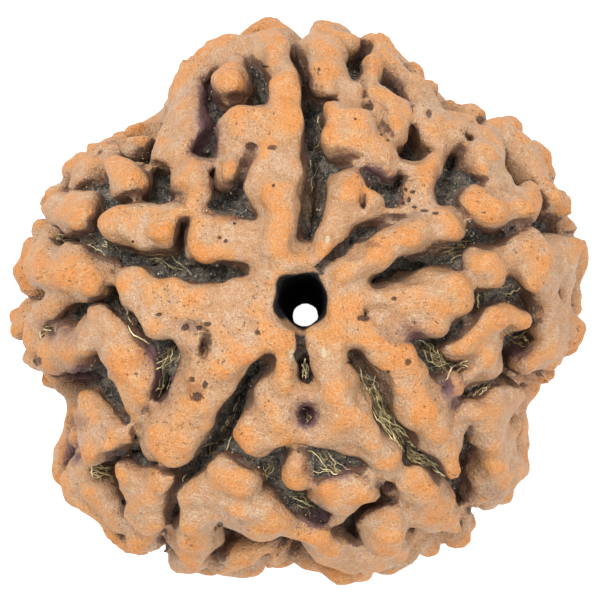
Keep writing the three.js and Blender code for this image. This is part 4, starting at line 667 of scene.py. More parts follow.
def under_envelope(at):
    """Depth of places under the envelope, and the envelope points that they belong to."""
    shift = np.stack([noise(at) for noise in edge_noise], axis=1)
    inner = at - [0, 0, MIDDLE] + EDGE_WAVINESS * shift
    radius = np.maximum(NEAR_MIDDLE, np.linalg.norm(inner, axis=1))
    unit = inner / radius[:, None]
    depth = envelope_radius(unit) - radius + CREST_WAVINESS * crest_noise(at)
    return depth, pressed(skin_point(unit, depth))


def in_reach(skin, near, item, room):
    """Indices of the envelope points, of those that are near, that a stroke may touch."""
    _, _, middle, reach = item
    away = ((skin - middle.astype(np.float32)) ** 2).sum(axis=1)
    return np.flatnonzero(near & (away <= (reach + room) ** 2))


def lobe_distance(item, skin, depth):
    """Distance past the rounded side and crown of a lobe, negative inside it."""
    level, points, _, _ = item
    edge, share = measure(points, skin)
    under = depth - level - CROWN * np.minimum(1, share) ** 2
    out = edge - WALL_SLOPE * np.maximum(0, under) + SHOULDER
    over = SHOULDER - under
    value = np.hypot(np.maximum(out, 0), np.maximum(over, 0))
    return value + np.minimum(np.maximum(out, over), 0) - SHOULDER


def cut_distance(item, skin, depth):
    """Distance past the walls and the bottom of a cut, negative inside it."""
    level, points, _, _ = item
    edge, _ = measure(points, skin)
    return np.maximum(edge + CUT_TAPER * depth, depth - level)


def field(at):
    """Signed distance, near enough, to the surface of the seed, and depth under the envelope."""
    depth, skin = under_envelope(at)
    body = FLOOR_DEPTH + FLOOR_WAVINESS * floor_noise(at) - depth
    near = (depth > -FAR_OUTSIDE) & (depth < FAR_INSIDE)
    short_skin = skin.astype(np.float32)
    for item in lobes:
        chosen = in_reach(short_skin, near, item, NEAR_LOBE)
        if len(chosen):
            value = lobe_distance(item, skin[chosen], depth[chosen])
            body[chosen] = smooth_min(body[chosen], value, LOBE_BLEND)
    for item in cuts:
        chosen = in_reach(short_skin, near, item, NEAR_CUT)
        if len(chosen):
            value = cut_distance(item, skin[chosen], depth[chosen])
            body[chosen] = -smooth_min(-body[chosen], value, CUT_BLEND)
    return -smooth_min(-body, hole_distance(at), HOLE_BLEND), depth


# The mesh over a grid of distances
NUDGE = 0.05
LAST_CELL = 1.001


def flood(solid, first):
    """Grid points joined to a first one without leaving points of the same kind."""
    kind = solid == solid[first]
    reached = np.zeros_like(kind)
    reached[first] = True
    count = 0
    while count != reached.sum():
        count = reached.sum()
        for axis in range(3):
            for way in (1, -1):
                line = np.moveaxis(reached, axis, 0)[::way]
                allowed = np.moveaxis(kind, axis, 0)[::way]
                for i in range(1, len(line)):
                    line[i] |= line[i - 1] & allowed[i]
    return reached


CORNERS = [(k & 1, (k >> 1) & 1, k >> 2) for k in range(8)]


def is_pinched(mask):
    """Whether solid corners of a cell touch only across a diagonal."""
    has = [(mask >> corner) & 1 for corner in range(8)]
    faces = [(0, 1, 3, 2), (4, 5, 7, 6), (0, 1, 5, 4), (2, 3, 7, 6), (0, 2, 6, 4), (1, 3, 7, 5)]
    if any(has[a] == has[c] and has[b] == has[d] and has[a] != has[b] for a, b, c, d in faces):
        return True
    return any(one in (mask, 255 - mask) for one in [(1 << a) + (1 << (7 - a)) for a in range(4)])


PINCHED = np.array([is_pinched(mask) for mask in range(256)])


def corner_view(grid, corner):
    i, j, k = CORNERS[corner]
    ends = [n - 1 for n in grid.shape]
    return grid[i:ends[0] + i, j:ends[1] + j, k:ends[2] + k]


def clean_solid(values, cell, heart):
    """One solid without floating crumbs, closed bubbles or pinched places."""
    solid = values < 0
    while True:
        body = flood(solid, heart)
        air = flood(solid, (0, 0, 0))
        drop = solid & ~body
        fill = ~solid & ~air
        values[drop] = NUDGE * cell
        values[fill] = -NUDGE * cell
        solid = (solid & ~drop) | fill
        changed = 0
        while True:
            mask = sum(corner_view(solid, k).astype(int) << k for k in range(8))
            cells = np.argwhere(PINCHED[mask])
            if not len(cells):
                break
            changed += len(cells)
            for i, j, k in cells:
                corners = [(i + a, j + b, k + c) for a, b, c in CORNERS]
                open_ones = [corner for corner in corners if not solid[corner]]
                if open_ones:
                    best = min(open_ones, key=lambda corner: values[corner])
                    solid[best] = True
                    values[best] = -NUDGE * cell
        if not changed:
            return solid


def surface(values, solid, low, cell):
    """Vertices in every cell that the surface passes through, and a quad for every crossing."""
    shape = solid.shape
    mask = sum(corner_view(solid, k).astype(int) << k for k in range(8))
    cells = np.argwhere((mask > 0) & (mask < 255))
    number = np.full(mask.shape, -1)
    number[tuple(cells.T)] = np.arange(len(cells))
    total = np.zeros((len(cells), 3))
    count = np.zeros(len(cells))
    for a in range(8):
        for axis in range(3):
            if (a >> axis) & 1:
                continue
            b = a | (1 << axis)
            from_point = tuple((cells + CORNERS[a]).T)
            to_point = tuple((cells + CORNERS[b]).T)
            crossed = solid[from_point] != solid[to_point]
            drop = np.where(crossed, values[from_point] - values[to_point], 1)
            part = np.where(crossed, values[from_point] / drop, 0)
            place = np.array(CORNERS[a], float) + part[:, None] * np.eye(3)[axis]
            total += np.where(crossed[:, None], place, 0)
            count += crossed
    vertices = low + cell * (cells + total / count[:, None])
    quads = []
    for axis in range(3):
        one, two = [np.eye(3, dtype=int)[(axis + k) % 3] for k in (1, 2)]
        inner = np.argwhere(np.take(solid, range(shape[axis] - 1), axis=axis)
                            != np.take(solid, range(1, shape[axis]), axis=axis))
        ring = [number[tuple((inner - off).T)] for off in (one * 0, one, one + two, two)]
        quad = np.stack(ring, axis=1)
        flipped = ~solid[tuple(inner.T)]
        quad[flipped] = quad[flipped][:, ::-1]
        quads.append(quad)
    return vertices, np.concatenate(quads)


def sample(values, low, cell, at):
    """Values between the points of the grid."""
    where = np.clip((at - low) / cell, 0, np.array(values.shape) - LAST_CELL)
    index = np.floor(where).astype(int)
    part = where - index
    result = np.zeros(len(at))
    for i, j, k in CORNERS:
        share = (np.where(i, part[:, 0], 1 - part[:, 0])
                 * np.where(j, part[:, 1], 1 - part[:, 1])
                 * np.where(k, part[:, 2], 1 - part[:, 2]))
        result += share * values[index[:, 0] + i, index[:, 1] + j, index[:, 2] + k]
    return result
# The finer mesh
CELL = 0.212
COARSE = 2
BAND = 0.75
LOW = np.array([-12.1, -12.0, -0.6])
HIGH = np.array([12.1, 12.0, 19.8])
HEART = np.array([5.0, 0.0, 9.5])
MM = 0.001
SWELL_BLUR = 1.3
VALUE_LIMIT = 1.5
SHADE_REACHES = [0.4, 0.8, 1.4]
SHADE_LIMIT = 1.5
NO_CUT = -2.0


def axis_points(low, cell, shape):
    lines = [low[i] + cell * np.arange(shape[i]) for i in range(3)]
    return np.stack(np.meshgrid(*lines, indexing="ij"), axis=-1).reshape(-1, 3)


def seed_values():
    """The form on a grid: coarse everywhere, exact only near the surface."""
    shape = (np.ceil((HIGH - LOW) / (CELL * COARSE)).astype(int)) * COARSE + 1
    rough_shape = (shape - 1) // COARSE + 1
    rough, _ = field(axis_points(LOW, CELL * COARSE, rough_shape))
    rough = rough.reshape(rough_shape)
    points = axis_points(LOW, CELL, shape)
    values = sample(rough, LOW, CELL * COARSE, points)
    near = np.flatnonzero(np.abs(values) < BAND)
    values[near] = field(points[near])[0]
    values = np.maximum(values, -points[:, 2])
    return values.reshape(shape)


def blurred(grid, reach):
    """The grid averaged over a cube of that many cells each way."""
    for axis in range(3):
        padded = np.concatenate([
            np.repeat(np.take(grid, [0], axis), reach + 1, axis), grid,
            np.repeat(np.take(grid, [-1], axis), reach, axis),
        ], axis)
        total = np.cumsum(padded, axis)
        count = grid.shape[axis]
        upper = np.take(total, range(2 * reach + 1, 2 * reach + 1 + count), axis)
        grid = (upper - np.take(total, range(count), axis)) / (2 * reach + 1)
    return grid


def unit_slopes(values, at):
    """Directions straight out of the surface."""
    step = CELL * 0.5
    result = np.zeros((len(at), 3))
    for axis in range(3):
        shift = np.eye(3)[axis] * step
        result[:, axis] = (sample(values, LOW, CELL, at + shift)
                           - sample(values, LOW, CELL, at - shift)) / (2 * step)
    return result / np.maximum(np.linalg.norm(result, axis=1), 1e-6)[:, None]


def seed_surface():
    """Grid values, vertices, quads and outward directions of the finer mesh."""
    values = seed_values()
    heart = tuple(np.round((HEART - LOW) / CELL).astype(int))
    solid = clean_solid(values, CELL, heart)
    vertices, quads = surface(values, solid, LOW, CELL)
    return values, vertices, quads, unit_slopes(values, vertices)


def seed_facts():
    """What the material needs to know at each vertex."""
    depth, skin = under_envelope(vertices)
    cut = np.full(len(vertices), NO_CUT)
    everywhere = np.ones(len(vertices), bool)
    for item in cuts:
        chosen = in_reach(skin, everywhere, item, FAR_OUTSIDE)
        if len(chosen):
            value = cut_distance(item, skin[chosen], depth[chosen])
            cut[chosen] = np.maximum(cut[chosen], -value)
    # How closed in each vertex is, looking out along its normal: the material paints shade from it
    shade = np.zeros(len(vertices))
    for reach in SHADE_REACHES:
        ahead = sample(values, LOW, CELL, vertices + reach * normals)
        shade += np.clip(1 - ahead / reach, 0, SHADE_LIMIT)
    swell = blurred(np.clip(values, -VALUE_LIMIT, VALUE_LIMIT), max(1, round(SWELL_BLUR / CELL)))
    return {
        "swell": sample(swell, LOW, CELL, vertices),
        "occlusion": shade / len(SHADE_REACHES),
        "rise": FLOOR_DEPTH + FLOOR_WAVINESS * floor_noise(vertices) - depth,
        "depth": depth,
        "cut": cut,
        "hole": hole_distance(vertices),
        "knob": knob_noise(vertices),
    }


def spread(numbers, low, high):
    """A smooth step of the numbers from low to high."""
    part = np.clip((numbers - low) / (high - low), 0, 1)
    return part * part * (3 - 2 * part)


# Hairline slits beside the hole, as [x, y, x, y, half width] in the plan
SLITS = [
    [0.7, 1.15, 1.95, 2.3, 0.19], [0.0, -1.35, 0.08, -2.2, 0.12], [0.08, -2.2, 0.24, -3.05, 0.19],
]
SLIT_DEPTH = 0.28
SLIT_EDGES = [1.4, 0.4]
SLIT_HEIGHTS = [12.0, 14.0]


def slit_share(at):
    """1 in the middle of a slit, fading to nothing at its edges."""
    share = np.zeros(len(at))
    for ax, ay, bx, by, half in SLITS:
        along = np.array([bx - ax, by - ay])
        offset = at[:, :2] - [ax, ay]
        part = np.clip(offset @ along / (along @ along), 0, 1)
        away = np.linalg.norm(offset - part[:, None] * along, axis=1)
        share = np.maximum(share, spread(away / half, *SLIT_EDGES))
    return share * spread(at[:, 2], *SLIT_HEIGHTS)


# Small knobs on the lobes, crumbly ground in the grooves, both too fine for the solid
KNOB_HEIGHT = 0.085
CRUMBLE_HEIGHT = 0.09
BARE_RISES = [0.5, 1.1]
CUT_EDGES = [-0.1, 0.05]
CUT_DEPTHS = [0.8, 1.3]
HOLE_EDGES = [0.15, 0.5]
FOOT_HEIGHTS = [0.05, 0.6]
knob_noise = waves(17, 14, 0.7, 1.8)
crumble_noise = waves(19, 16, 0.42, 0.8)

values, vertices, quads, normals = seed_surface()
facts = seed_facts()
bare = spread(facts["rise"], *BARE_RISES)
bare *= 1 - spread(facts["cut"], *CUT_EDGES) * spread(facts["depth"], *CUT_DEPTHS)
ground = (1 - bare) * spread(facts["hole"], *HOLE_EDGES)
facts["slit"] = slit_share(vertices)
offset = KNOB_HEIGHT * bare * facts["knob"] + CRUMBLE_HEIGHT * ground * crumble_noise(vertices)
offset -= SLIT_DEPTH * facts["slit"]
offset *= spread(vertices[:, 2], *FOOT_HEIGHTS)
vertices = vertices + offset[:, None] * normals


def mesh_object(name, points, faces, attributes):
    """A smooth mesh of points in mm, with numbers at each point for its material."""
    mesh = bpy.data.meshes.new(name)
    mesh.from_pydata((np.asarray(points) * MM).tolist(), [], np.asarray(faces).tolist())
    mesh.polygons.foreach_set("use_smooth", np.ones(len(mesh.polygons), bool))
    for key, numbers in attributes.items():
        layer = mesh.attributes.new(key, "FLOAT", "POINT")
        layer.data.foreach_set("value", np.asarray(numbers, np.float32))
    mesh.update()
    obj = bpy.data.objects.new(name, mesh)
    bpy.context.scene.collection.objects.link(obj)
    return obj


# Materials
BRIGHTNESS = 2.0
SRGB_KNEE = 0.04045
SRGB_FOOT = 12.92
SRGB_SHIFT = 0.055
SRGB_POWER = 2.4


def linear(red, green, blue, gain=1.0):
    """A colour given as it looks on screen where the studio lights reach it fully.

    What always lies in the shade of the grooves has a gain that makes up for part of it.
    """
    result = []
    for level in (red, green, blue):
        level /= 255
        if level <= SRGB_KNEE:
            level /= SRGB_FOOT
        else:
            level = ((level + SRGB_SHIFT) / (1 + SRGB_SHIFT)) ** SRGB_POWER
        result.append(gain * level / BRIGHTNESS)
    return (*result, 1.0)


class Shader:
    """A material's node tree, written as nested calls."""

    def __init__(self, name):
        self.material = bpy.data.materials.new(name)
        self.material.use_nodes = True
        self.nodes = self.material.node_tree.nodes
        self.links = self.material.node_tree.links
        self.nodes.clear()

    def node(self, kind, settings=(), **inputs):
        node = self.nodes.new(kind)
        for key, value in dict(settings).items():
            setattr(node, key, value)
        for key, value in inputs.items():
            socket = node.inputs[int(key[1:]) if key[0] == "_" else key.replace("_", " ")]
            if isinstance(value, bpy.types.NodeSocket):
                self.links.new(value, socket)
            else:
                socket.default_value = value
        return node

    def place(self):
        return self.node("ShaderNodeTexCoord").outputs["Object"]

    def fact(self, name):
        return self.node("ShaderNodeAttribute", {"attribute_name": name}).outputs["Fac"]

    def noise(self, size, detail=2.0, rough=0.5):
        """Smooth noise whose features are about size mm across."""
        return self.node("ShaderNodeTexNoise", Vector=self.place(), Scale=1 / (size * MM),
                         Detail=detail, Roughness=rough).outputs["Fac"]

    def centred(self, size, detail, rough):
        """Noise that goes evenly above and below nothing."""
        return self.math("SUBTRACT", self.noise(size, detail, rough), 0.5)

    def math(self, how, a, b=0.0):
        return self.node("ShaderNodeMath", {"operation": how}, _0=a, _1=b).outputs[0]

    def plus(self, a, b):
        return self.math("ADD", a, b)

    def minus(self, a, b):
        return self.math("SUBTRACT", a, b)

    def times(self, a, b):
        return self.math("MULTIPLY", a, b)

    def larger(self, a, b):
        return self.math("MAXIMUM", a, b)

    def ramp(self, value, low, high, start=0.0, end=1.0):
        """A smooth step of value from low to high."""
        return self.node("ShaderNodeMapRange", {"interpolation_type": "SMOOTHSTEP"}, Value=value,
                         _1=low, _2=high, _3=start, _4=end).outputs[0]

    def blend(self, share, a, b):
        """The first colour where the share is 0, the second where it is 1."""
        return self.node("ShaderNodeMix", {"data_type": "RGBA"}, _0=share, _6=a, _7=b).outputs[2]

    def bump(self, height, distance, strength, normal=None):
        node = self.node("ShaderNodeBump", Height=height, Distance=distance * MM,
                         Strength=strength)
        if normal is not None:
            self.links.new(normal, node.inputs["Normal"])
        return node.outputs["Normal"]

    def finish(self, color, roughness, normal, **fixed):
        shader = self.node("ShaderNodeBsdfPrincipled", Base_Color=color, Roughness=roughness,
                           Normal=normal)
        for key, value in fixed.items():
            shader.inputs[key.replace("_", " ")].default_value = value
        output = self.node("ShaderNodeOutputMaterial")
        self.links.new(shader.outputs[0], output.inputs["Surface"])
        return self.material


def spot_share(s, spots, soft, ragged):
    """1 inside plan ellipses given as [x, y, x radius, y radius] in mm, on the upper side."""
    axes = s.node("ShaderNodeSeparateXYZ", Vector=s.place()).outputs
    share = s.ramp(axes[2], SPOTS_FROM * MM, SPOTS_WHOLE * MM)
    total = 0.0
    for x, y, wide, long in spots:
        across = s.math("DIVIDE", s.minus(axes[0], x * MM), wide * MM)
        along = s.math("DIVIDE", s.minus(axes[1], y * MM), long * MM)
        away = s.math("SQRT", s.plus(s.times(across, across), s.times(along, along)))
        total = s.larger(total, s.ramp(s.plus(away, ragged), 1 + soft, 1 - soft))
    return s.times(share, total)


# Places on the upper side that have a tint of their own, as [x, y, x radius, y radius]
PURPLE_SPOTS = [
    [-5.45, -2.9, 0.6, 1.0], [-5.9, -2.3, 0.5, 0.6], [-3.85, 7.2, 0.55, 1.5], [-3.7, 6.1, 0.6, 0.5],
    [0.2, -4.6, 0.5, 0.7], [1.5, -6.9, 0.5, 0.4], [0.7, -8.6, 0.5, 0.4], [4.4, -1.3, 0.8, 0.45],
    [8.6, -2.0, 0.5, 0.4], [6.0, -3.6, 0.5, 0.7], [5.6, 4.6, 0.4, 0.5], [2.9, 5.0, 0.7, 0.4],
    [-8.6, -2.9, 0.8, 0.4], [-9.4, -1.6, 0.6, 0.4], [-9.2, -6.1, 0.5, 0.5],
]
CREAM_SPOTS = [[-0.3, -2.2, 0.1, 0.24], [0.95, -2.1, 0.1, 0.2], [1.1, 2.4, 0.09, 0.16]]
PIT_SPOTS = [
    [-3.2, 2.48, 0.08, 0.06], [-2.95, 2.34, 0.07, 0.06], [-5.62, -0.58, 0.1, 0.06],
    [-4.55, -1.08, 0.12, 0.09], [-4.0, -1.12, 0.1, 0.08], [-3.68, -0.98, 0.1, 0.08],
    [-4.3, -3.17, 0.1, 0.09], [-4.1, -3.86, 0.2, 0.13], [-3.78, -3.37, 0.09, 0.12],
    [3.75, 0.05, 0.08, 0.06], [2.0, -2.47, 0.1, 0.06], [4.3, -2.47, 0.1, 0.1],
    [3.5, -2.85, 0.06, 0.05], [-10.5, -2.45, 0.14, 0.16], [5.15, 7.43, 0.09, 0.14],
    [0.76, 9.2, 0.05, 0.05], [-6.65, 2.31, 0.06, 0.05], [4.2, 4.4, 0.07, 0.06],
    [4.48, 4.3, 0.09, 0.05], [4.33, 3.98, 0.06, 0.09], [4.56, 3.7, 0.08, 0.06],
    [4.1, 3.86, 0.06, 0.06], [4.95, 3.55, 0.12, 0.05], [5.4, 3.45, 0.1, 0.05],
    [-1.93, 6.1, 0.18, 0.14], [-1.1, 6.06, 0.17, 0.08], [-1.38, 9.3, 0.1, 0.04],
    [-1.7, -1.3, 0.1, 0.09], [-3.74, -1.62, 0.2, 0.36], [2.55, -0.72, 0.22, 0.1],
    [-1.05, 4.55, 0.05, 0.05],
    [-3.2, -8.95, 0.1, 0.08], [-7.0, -8.08, 0.09, 0.09], [3.24, 6.58, 0.05, 0.04],
    [3.5, 6.36, 0.05, 0.04], [-2.6, 3.05, 0.05, 0.04], [2.2, 7.2, 0.05, 0.04],
]
BROWN_SPOTS = [
    [-4.2, -1.05, 0.5, 0.22], [4.4, -1.25, 0.42, 0.25], [1.85, 5.75, 0.42, 0.18],
    [-2.0, 5.9, 0.25, 0.3], [-8.9, -4.9, 0.45, 0.3], [1.6, 6.0, 0.25, 0.14],
    [-4.15, -3.6, 0.35, 0.4], [2.9, 2.2, 0.3, 0.14], [-7.35, 6.3, 0.4, 0.1],
]
EARTH_SPOTS = [
    [2.55, -2.6, 0.7, 0.6], [3.35, -3.7, 0.34, 0.75], [4.15, -5.1, 0.3, 0.8],
    [-1.0, 8.6, 0.2, 0.6], [0.35, 4.0, 0.5, 0.7], [5.5, 2.0, 0.5, 0.25],
]
GREY_SPOTS = [[7.66, -7.66, 0.42, 0.3], [4.6, 3.3, 0.4, 0.2]]
# Heights at which the tints begin to show, and show fully
SPOTS_FROM = 8.0
SPOTS_WHOLE = 10.0

ORANGE = linear(248, 170, 94)
DEEP_ORANGE = linear(252, 156, 60)
TAN = linear(224, 164, 112)
GREY_PINK = linear(224, 180, 148)
PALE_GRAIN = linear(255, 228, 184, 1.1)
DULL_GRAIN = linear(176, 118, 80)
GREY_SKIN = linear(160, 146, 132)
PORE_BROWN = linear(128, 82, 64)
# Painted shade in pits and slits too fine for the mesh
PIT_SHADE_BROWN = linear(76, 46, 38)
# Brown of painted shade in closed-in places, and of the dark wrinkle lines of the grain
SHADE_AND_GRAIN_BROWN = linear(168, 112, 80, 1.15)
# Dark of specks of dirt, and of painted shade near the grooves
DIRT_AND_SHADE = linear(96, 70, 60)
PURPLE = linear(134, 98, 102)
CREAM = linear(250, 232, 190)
CHARCOAL = linear(130, 120, 108, 1.9)
SOOT = linear(66, 64, 64, 1.8)
OLIVE = linear(172, 156, 128, 1.8)
OLIVE_SPECK = linear(240, 228, 196, 1.4)
EARTH = linear(172, 132, 98, 1.35)
# Painted shade for the wall inside the hole
HOLE_SHADE_BLACK = linear(44, 42, 42)
STRAW = linear(252, 238, 184, 1.9)
DRY_STRAW = linear(222, 200, 142, 1.7)
OLD_STRAW = linear(150, 124, 86, 1.3)


def waxy_skin(s, mottle):
    """Waxy orange on the knobs and lobe ends, tan between them under a grey-pink film."""
    warm = s.plus(s.times(s.fact("swell"), 1.7), s.times(s.fact("knob"), 0.15))
    warm = s.plus(warm, s.times(s.centred(3.0, 2.0, 0.5), 0.9))
    warm = s.plus(warm, s.times(s.centred(1.0, 2.5, 0.5), 1.5))
    warmth = s.ramp(warm, 0.3, 0.75)
    color = s.blend(warmth, TAN, ORANGE)
    color = s.blend(s.ramp(warm, 0.6, 1.0, 0.0, 0.85), color, DEEP_ORANGE)
    film = s.times(s.ramp(mottle, 0.38, 0.58), s.ramp(warmth, 0.0, 1.0, 0.8, 0.22))
    film = s.times(film, s.ramp(s.noise(1.7, 3.0, 0.6), 0.36, 0.6, 0.25, 1.0))
    return s.blend(film, color, GREY_PINK), film


def grainy(s, color, film, grain):
    """The colour with a crinkled skin, pale dust, dull grains and pores."""
    crinkle = s.ramp(s.math("ABSOLUTE", s.centred(0.55, 3.0, 0.6)), 0.03, 0.004)
    wrinkle = s.times(crinkle, s.ramp(s.noise(1.0, 2.5, 0.5), 0.4, 0.6, 1.0, 0.2))
    color = s.blend(s.times(wrinkle, 0.34), color, PALE_GRAIN)
    dusty = s.plus(s.times(film, 0.5), 0.22)
    dust = s.times(s.ramp(s.noise(0.05, 1.5, 0.6), 0.47, 0.63), dusty)
    dust = s.larger(dust, s.ramp(s.noise(0.075, 1.0), 0.66, 0.74, 0.0, 0.7))
    color = s.blend(dust, color, PALE_GRAIN)
    color = s.blend(s.ramp(s.noise(0.065, 1.0), 0.5, 0.3, 0.0, 0.36), color, DULL_GRAIN)
    color = s.blend(s.ramp(grain, 0.46, 0.3, 0.0, 0.28), color, SHADE_AND_GRAIN_BROWN)
    pores = s.ramp(s.noise(0.16, 3.0, 0.7), 0.62, 0.72)
    pores = s.times(pores, s.ramp(s.noise(3.0, 2.0), 0.46, 0.6))
    return s.blend(s.times(pores, 0.36), color, PORE_BROWN), pores


def shaded_and_stained(s, color, fray, ragged, hole):
    """The colour with painted shade, brown where the surface is closed in or low, dark specks of
    dirt and painted shade towards the grooves, and in places purple.
    """
    closed_in = s.plus(s.fact("occlusion"), s.times(fray, 0.6))
    low = s.plus(s.fact("rise"), s.times(fray, 0.8))
    # Painted shade: brown where the surface is closed in or lies low towards the grooves, less near
    # the hole
    shade = s.larger(s.ramp(closed_in, 0.55, 1.2), s.ramp(low, 1.3, 0.65))
    color = s.blend(s.times(shade, s.ramp(hole, 0.2, 1.6, 0.1, 0.68)), color, SHADE_AND_GRAIN_BROWN)
    # Dark specks of dirt and painted shade, most where the surface is closed in or low near the
    # grooves
    near = s.plus(s.ramp(closed_in, 0.35, 1.1, 0.0, 0.5), s.ramp(low, 1.7, 0.8, 0.0, 0.3))
    dirt_and_shade = s.ramp(s.plus(near, s.noise(0.12, 3.0, 0.75)), 0.76, 0.94)
    dirt_and_shade = s.times(dirt_and_shade, s.ramp(hole, 0.2, 1.2, 0.2, 1.0))
    color = s.blend(s.times(dirt_and_shade, 0.65), color, DIRT_AND_SHADE)
    purple = spot_share(s, PURPLE_SPOTS, 0.6, ragged)
    color = s.blend(s.times(purple, s.ramp(closed_in, 0.0, 0.5, 0.25, 0.95)), color, PURPLE)
    return s.blend(s.times(spot_share(s, BROWN_SPOTS, 0.5, ragged), 0.5), color, PORE_BROWN)


def groove_share(s, fray):
    """1 on the groove floors, in the slits and in the deep cuts."""
    floor = s.ramp(s.minus(s.fact("rise"), s.times(fray, 0.9)), 0.72, 0.3)
    slit = s.ramp(s.plus(s.fact("slit"), s.times(fray, 0.9)), 0.35, 0.75, 0.0, 0.85)
    in_cut = s.ramp(s.plus(s.fact("cut"), s.times(fray, 0.3)), -0.08, 0.08)
    in_cut = s.times(in_cut, s.ramp(s.fact("depth"), 0.7, 1.4))
    return s.larger(s.larger(floor, slit), in_cut)


def charred(s, ragged):
    """Crumbly dried flesh, from soot to olive, and earthy where the wall is smooth."""
    color = s.blend(s.ramp(s.noise(0.5, 3.0, 0.6), 0.35, 0.65), CHARCOAL, SOOT)
    color = s.blend(s.ramp(s.noise(0.17, 3.0, 0.7), 0.5, 0.68, 0.0, 0.8), color, OLIVE)
    color = s.blend(s.ramp(s.noise(0.07, 1.5, 0.6), 0.6, 0.72, 0.0, 0.9), color, OLIVE_SPECK)
    color = s.blend(s.ramp(s.noise(0.09, 2.0, 0.6), 0.42, 0.3, 0.0, 0.8), color, SOOT)
    return s.blend(s.times(spot_share(s, EARTH_SPOTS, 0.6, ragged), 0.75), color, EARTH)


def seed_material():
    s = Shader("dry_stone")
    hole = s.fact("hole")
    mottle, grain = s.noise(0.42, 3.0, 0.6), s.noise(0.11, 2.5, 0.65)
    fray = s.centred(0.3, 3.0, 0.62)
    ragged = s.times(s.centred(0.2, 3.0, 0.65), 3.0)
    color, film = waxy_skin(s, mottle)
    color, pores = grainy(s, color, film, grain)
    cream = spot_share(s, CREAM_SPOTS, 0.3, s.times(fray, 0.5))
    color = s.blend(s.times(cream, 0.85), color, CREAM)
    color = s.blend(s.times(spot_share(s, GREY_SPOTS, 0.5, ragged), 0.6), color, GREY_SKIN)
    color = shaded_and_stained(s, color, fray, ragged, hole)
    # Painted shade in the small pits, which the bump below only dents
    pits = spot_share(s, PIT_SPOTS, 0.5, s.times(ragged, 0.6))
    color = s.blend(s.times(pits, 0.85), color, PIT_SHADE_BROWN)
    dark = groove_share(s, fray)
    color = s.blend(dark, color, charred(s, ragged))
    # Painted shade in the hairline slits, which the mesh dents only a little
    color = s.blend(s.ramp(s.fact("slit"), 0.15, 0.7, 0.0, 0.65), color, PIT_SHADE_BROWN)
    # Painted shade: the wall inside the hole is painted near black
    color = s.blend(s.ramp(hole, 0.14, 0.07), color, HOLE_SHADE_BLACK)

    relief = s.plus(s.times(grain, 0.5), s.times(mottle, 0.8))
    relief = s.minus(relief, s.times(s.larger(pits, pores), 1.2))
    normal = s.bump(relief, 0.17, 1.0)
    normal = s.bump(s.times(s.noise(0.16, 3.0, 0.7), dark), 0.3, 0.9, normal)
    rough = s.plus(s.ramp(dark, 0.0, 1.0, 0.48, 0.85), s.times(grain, 0.2))
    return s.finish(color, rough, normal, Specular_IOR_Level=0.35)


def straw_material():
    s = Shader("straw")
    tone = s.fact("tone")
    color = s.blend(s.ramp(tone, 0.1, 0.6), OLD_STRAW, DRY_STRAW)
    color = s.blend(s.ramp(tone, 0.5, 1.0), color, STRAW)
    color = s.blend(s.ramp(s.noise(0.2, 2.0), 0.4, 0.65, 0.0, 0.5), color, OLD_STRAW)
    return s.finish(color, 0.7, s.bump(s.noise(0.05, 1.0), 0.02, 0.4))


def crumb_material():
    s = Shader("dried_flesh")
    tone = s.fact("tone")
    color = s.blend(s.ramp(tone, 0.2, 0.7), SOOT, CHARCOAL)
    color = s.blend(s.ramp(tone, 0.62, 0.9), color, OLIVE)
    color = s.blend(s.ramp(tone, 0.88, 1.0), color, OLIVE_SPECK)
    return s.finish(color, 0.85, s.bump(s.noise(0.04, 1.0), 0.02, 0.5))


def floor_material():
    s = Shader("pale_floor")
    tone = s.ramp(s.noise(40.0, 3.0), 0.3, 0.7)
    color = s.blend(tone, linear(205, 205, 205), linear(212, 212, 212))
    normal = s.bump(s.noise(1.2, 2.0), 0.02, 0.2)
    return s.finish(color, 0.8, normal, Emission_Color=(1, 1, 1, 1), Emission_Strength=1.0)


seed = mesh_object("seed_relief", vertices, quads, facts)
seed.data.materials.append(seed_material())
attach(seed, "root")
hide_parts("seed")


chance = np.random.default_rng(7)
# Heights between which the surface is looked for from above
TOP_FROM = HIGH[2] - 0.3
TOP_TO = 6.0
TOP_STEP = 0.08


def top_height(at):
    """Height of the surface that is seen from above at plan places, in mm."""
    result = np.full(len(at), TOP_TO)
    open_yet = np.ones(len(at), bool)
    for height in np.arange(TOP_FROM, TOP_TO, -TOP_STEP):
        column = np.column_stack([at, np.full(len(at), height)])
        hit = open_yet & (sample(values, LOW, CELL, column) < 0)
        result[hit] = height + TOP_STEP / 2
        open_yet &= ~hit
    return result


